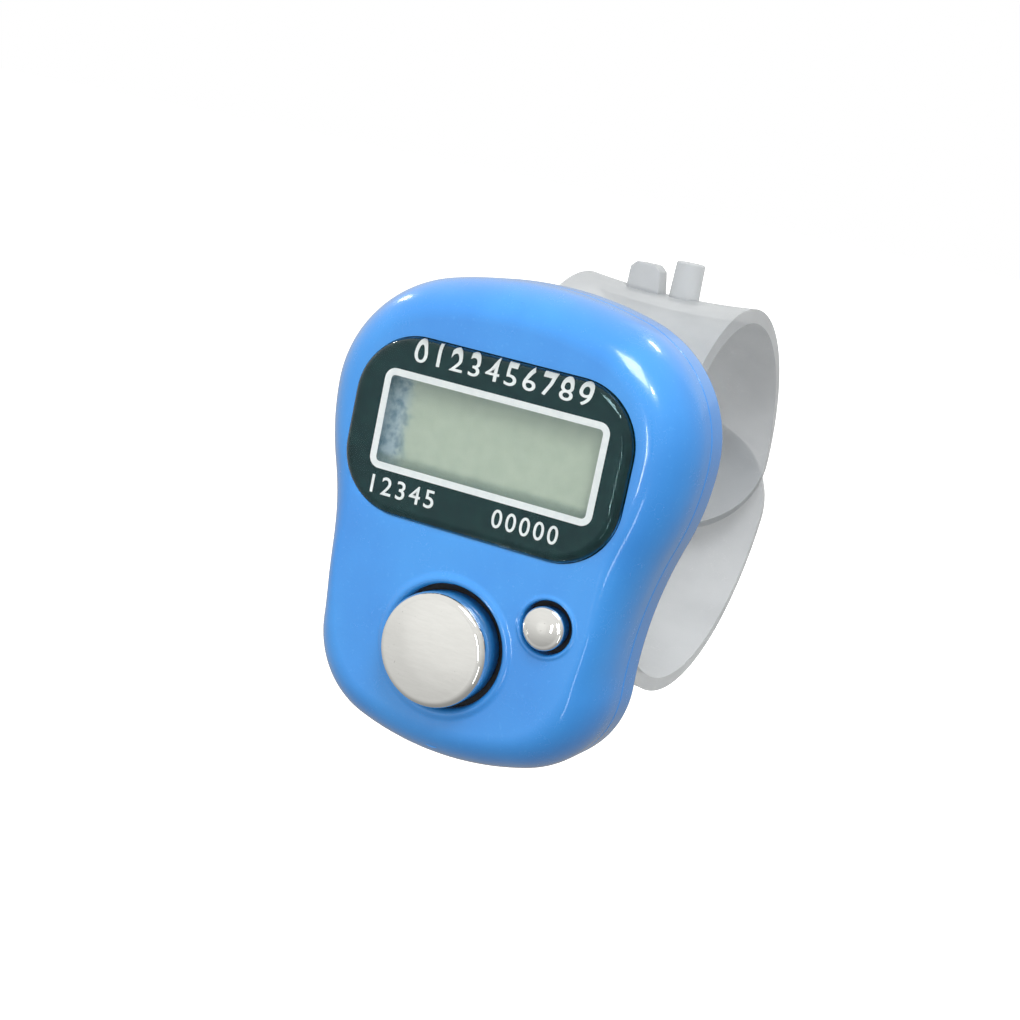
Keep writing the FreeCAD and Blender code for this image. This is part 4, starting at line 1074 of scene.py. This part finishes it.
draft = band((root_depth, foot_seam),
             [((0, upper_heel[1] - foot_seam), None), (upper_heel, -backwards),
              ((straight * math.sin(backwards), straight * math.cos(backwards)), None),
              (upper_centre, crest_bend - root_turn)],
             upper_tip_height, strap_half_width)
saddle(draft, upper_centre, upper_root_height + 2.0, 1)
upper_band = walled("upper_band", draft)
upper_band.data.materials.append(strap_finish)
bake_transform(upper_band, "case", "upper_arm", start=in_row(root_depth, -4.5), end=in_row(root_depth + 4, -0.5))
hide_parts("strap_upper_arm")

lower_reach = 21.5 - strap_wall / 2
lower_centre = (35.35, -3.1)
lower_heel_radius = 8.0
lower_tip_height = -8.7
side_step = lower_centre[0] - root_depth - lower_heel_radius
heel_drop = math.sqrt((lower_reach - lower_heel_radius) ** 2 - side_step ** 2)
heel_centre = (root_depth + lower_heel_radius, lower_centre[1] - heel_drop)
heel_turn = math.atan2(heel_drop, side_step)
tip_bend = math.asin((lower_tip_height - lower_centre[1]) / lower_reach)

draft = band((root_depth, foot_seam),
             [((0, heel_centre[1] - foot_seam), None), (heel_centre, heel_turn),
              (lower_centre, math.pi + tip_bend - heel_turn)],
             lower_tip_height, strap_half_width)
saddle(draft, lower_centre, heel_centre[1] - 1.0, -1)
lower_band = walled("lower_band", draft)
lower_band.data.materials.append(strap_finish)
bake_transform(lower_band, "case", "lower_arm", start=in_row(root_depth, -6.5), end=in_row(root_depth + 4, -10.5))
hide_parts("strap_lower_arm")

foot_back = root_depth - strap_wall / 2 - 0.02
foot_low, foot_high, foot_corner, foot_edge = -10.6, -0.8, 2.0, 0.5
draft = bmesh.new()
edge = ring(draft, rounded_rectangle(strap_half_width, foot_low, foot_high, foot_corner), back_face + 0.05)
back = follow(draft, edge, [(0, foot_back - foot_edge)]
              + rounding(0, foot_edge, foot_back - foot_edge, foot_back, 5))
close(draft, edge)
close(draft, back)
for across in (-peg_across, peg_across):
    turned(draft, across, peg_height, [(1.15, back_face + 0.2), (1.15, floor_depth - 0.02),
                                       (1.7, floor_depth - 0.02), (1.6, floor_depth - 0.3),
                                       (0.9, floor_depth - 0.38)])
strap_foot = shaped("strap_foot", draft)
strap_foot.data.materials.append(strap_finish)
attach(strap_foot, "case")
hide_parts("strap_base")

# ----------------------------------------------------------
# Pegs on the crest: two short gates left standing on the strap's moulding, a flat tapered one with
# cut corners and a straight round one beside it.
# ----------------------------------------------------------

crest_height = finger_height + 16.3
peg_depth = 36.5

draft = bmesh.new()
flat_peg = bmesh.ops.create_cube(draft, size=1.0)["verts"]
bmesh.ops.scale(draft, vec=(3.55, 2.5, 3.0), verts=flat_peg)
top_verts = [vertex for vertex in flat_peg if vertex.co.z > 0]
bmesh.ops.scale(draft, vec=(0.86, 0.86, 1.0), verts=top_verts)
bmesh.ops.translate(draft, vec=(-0.25, 0, 0), verts=top_verts)
bmesh.ops.translate(draft, vec=(-2.3, peg_depth, crest_height + 0.6), verts=flat_peg)
top_ends = [edge for edge in draft.edges if all(vertex in top_verts for vertex in edge.verts)
            and abs(edge.verts[0].co.x - edge.verts[1].co.x) < 1e-5]
bmesh.ops.bevel(draft, geom=top_ends, affect="EDGES", offset=0.55, segments=1, profile=0.5, material=-1)
bmesh.ops.bevel(draft, geom=list(draft.edges), affect="EDGES", offset=0.16, segments=3, profile=0.5,
                material=-1)
round_place = Matrix.Translation((1.7, peg_depth + 0.1, crest_height + 1.0))
round_peg = bmesh.ops.create_cone(draft, cap_ends=True, segments=48, radius1=1.52, radius2=1.42, depth=4.0,
                                  matrix=round_place)["verts"]
crown_edges = [edge for edge in draft.edges if all(vertex in round_peg for vertex in edge.verts)
               and all(vertex.co.z > crest_height + 2.9 for vertex in edge.verts)]
bmesh.ops.bevel(draft, geom=crown_edges, affect="EDGES", offset=0.22, segments=4, profile=0.5, material=-1)
crest_pegs = shaped("crest_pegs", draft, crease=30.0)
crest_pegs.data.materials.append(strap_finish)
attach(crest_pegs, "upper_arm")
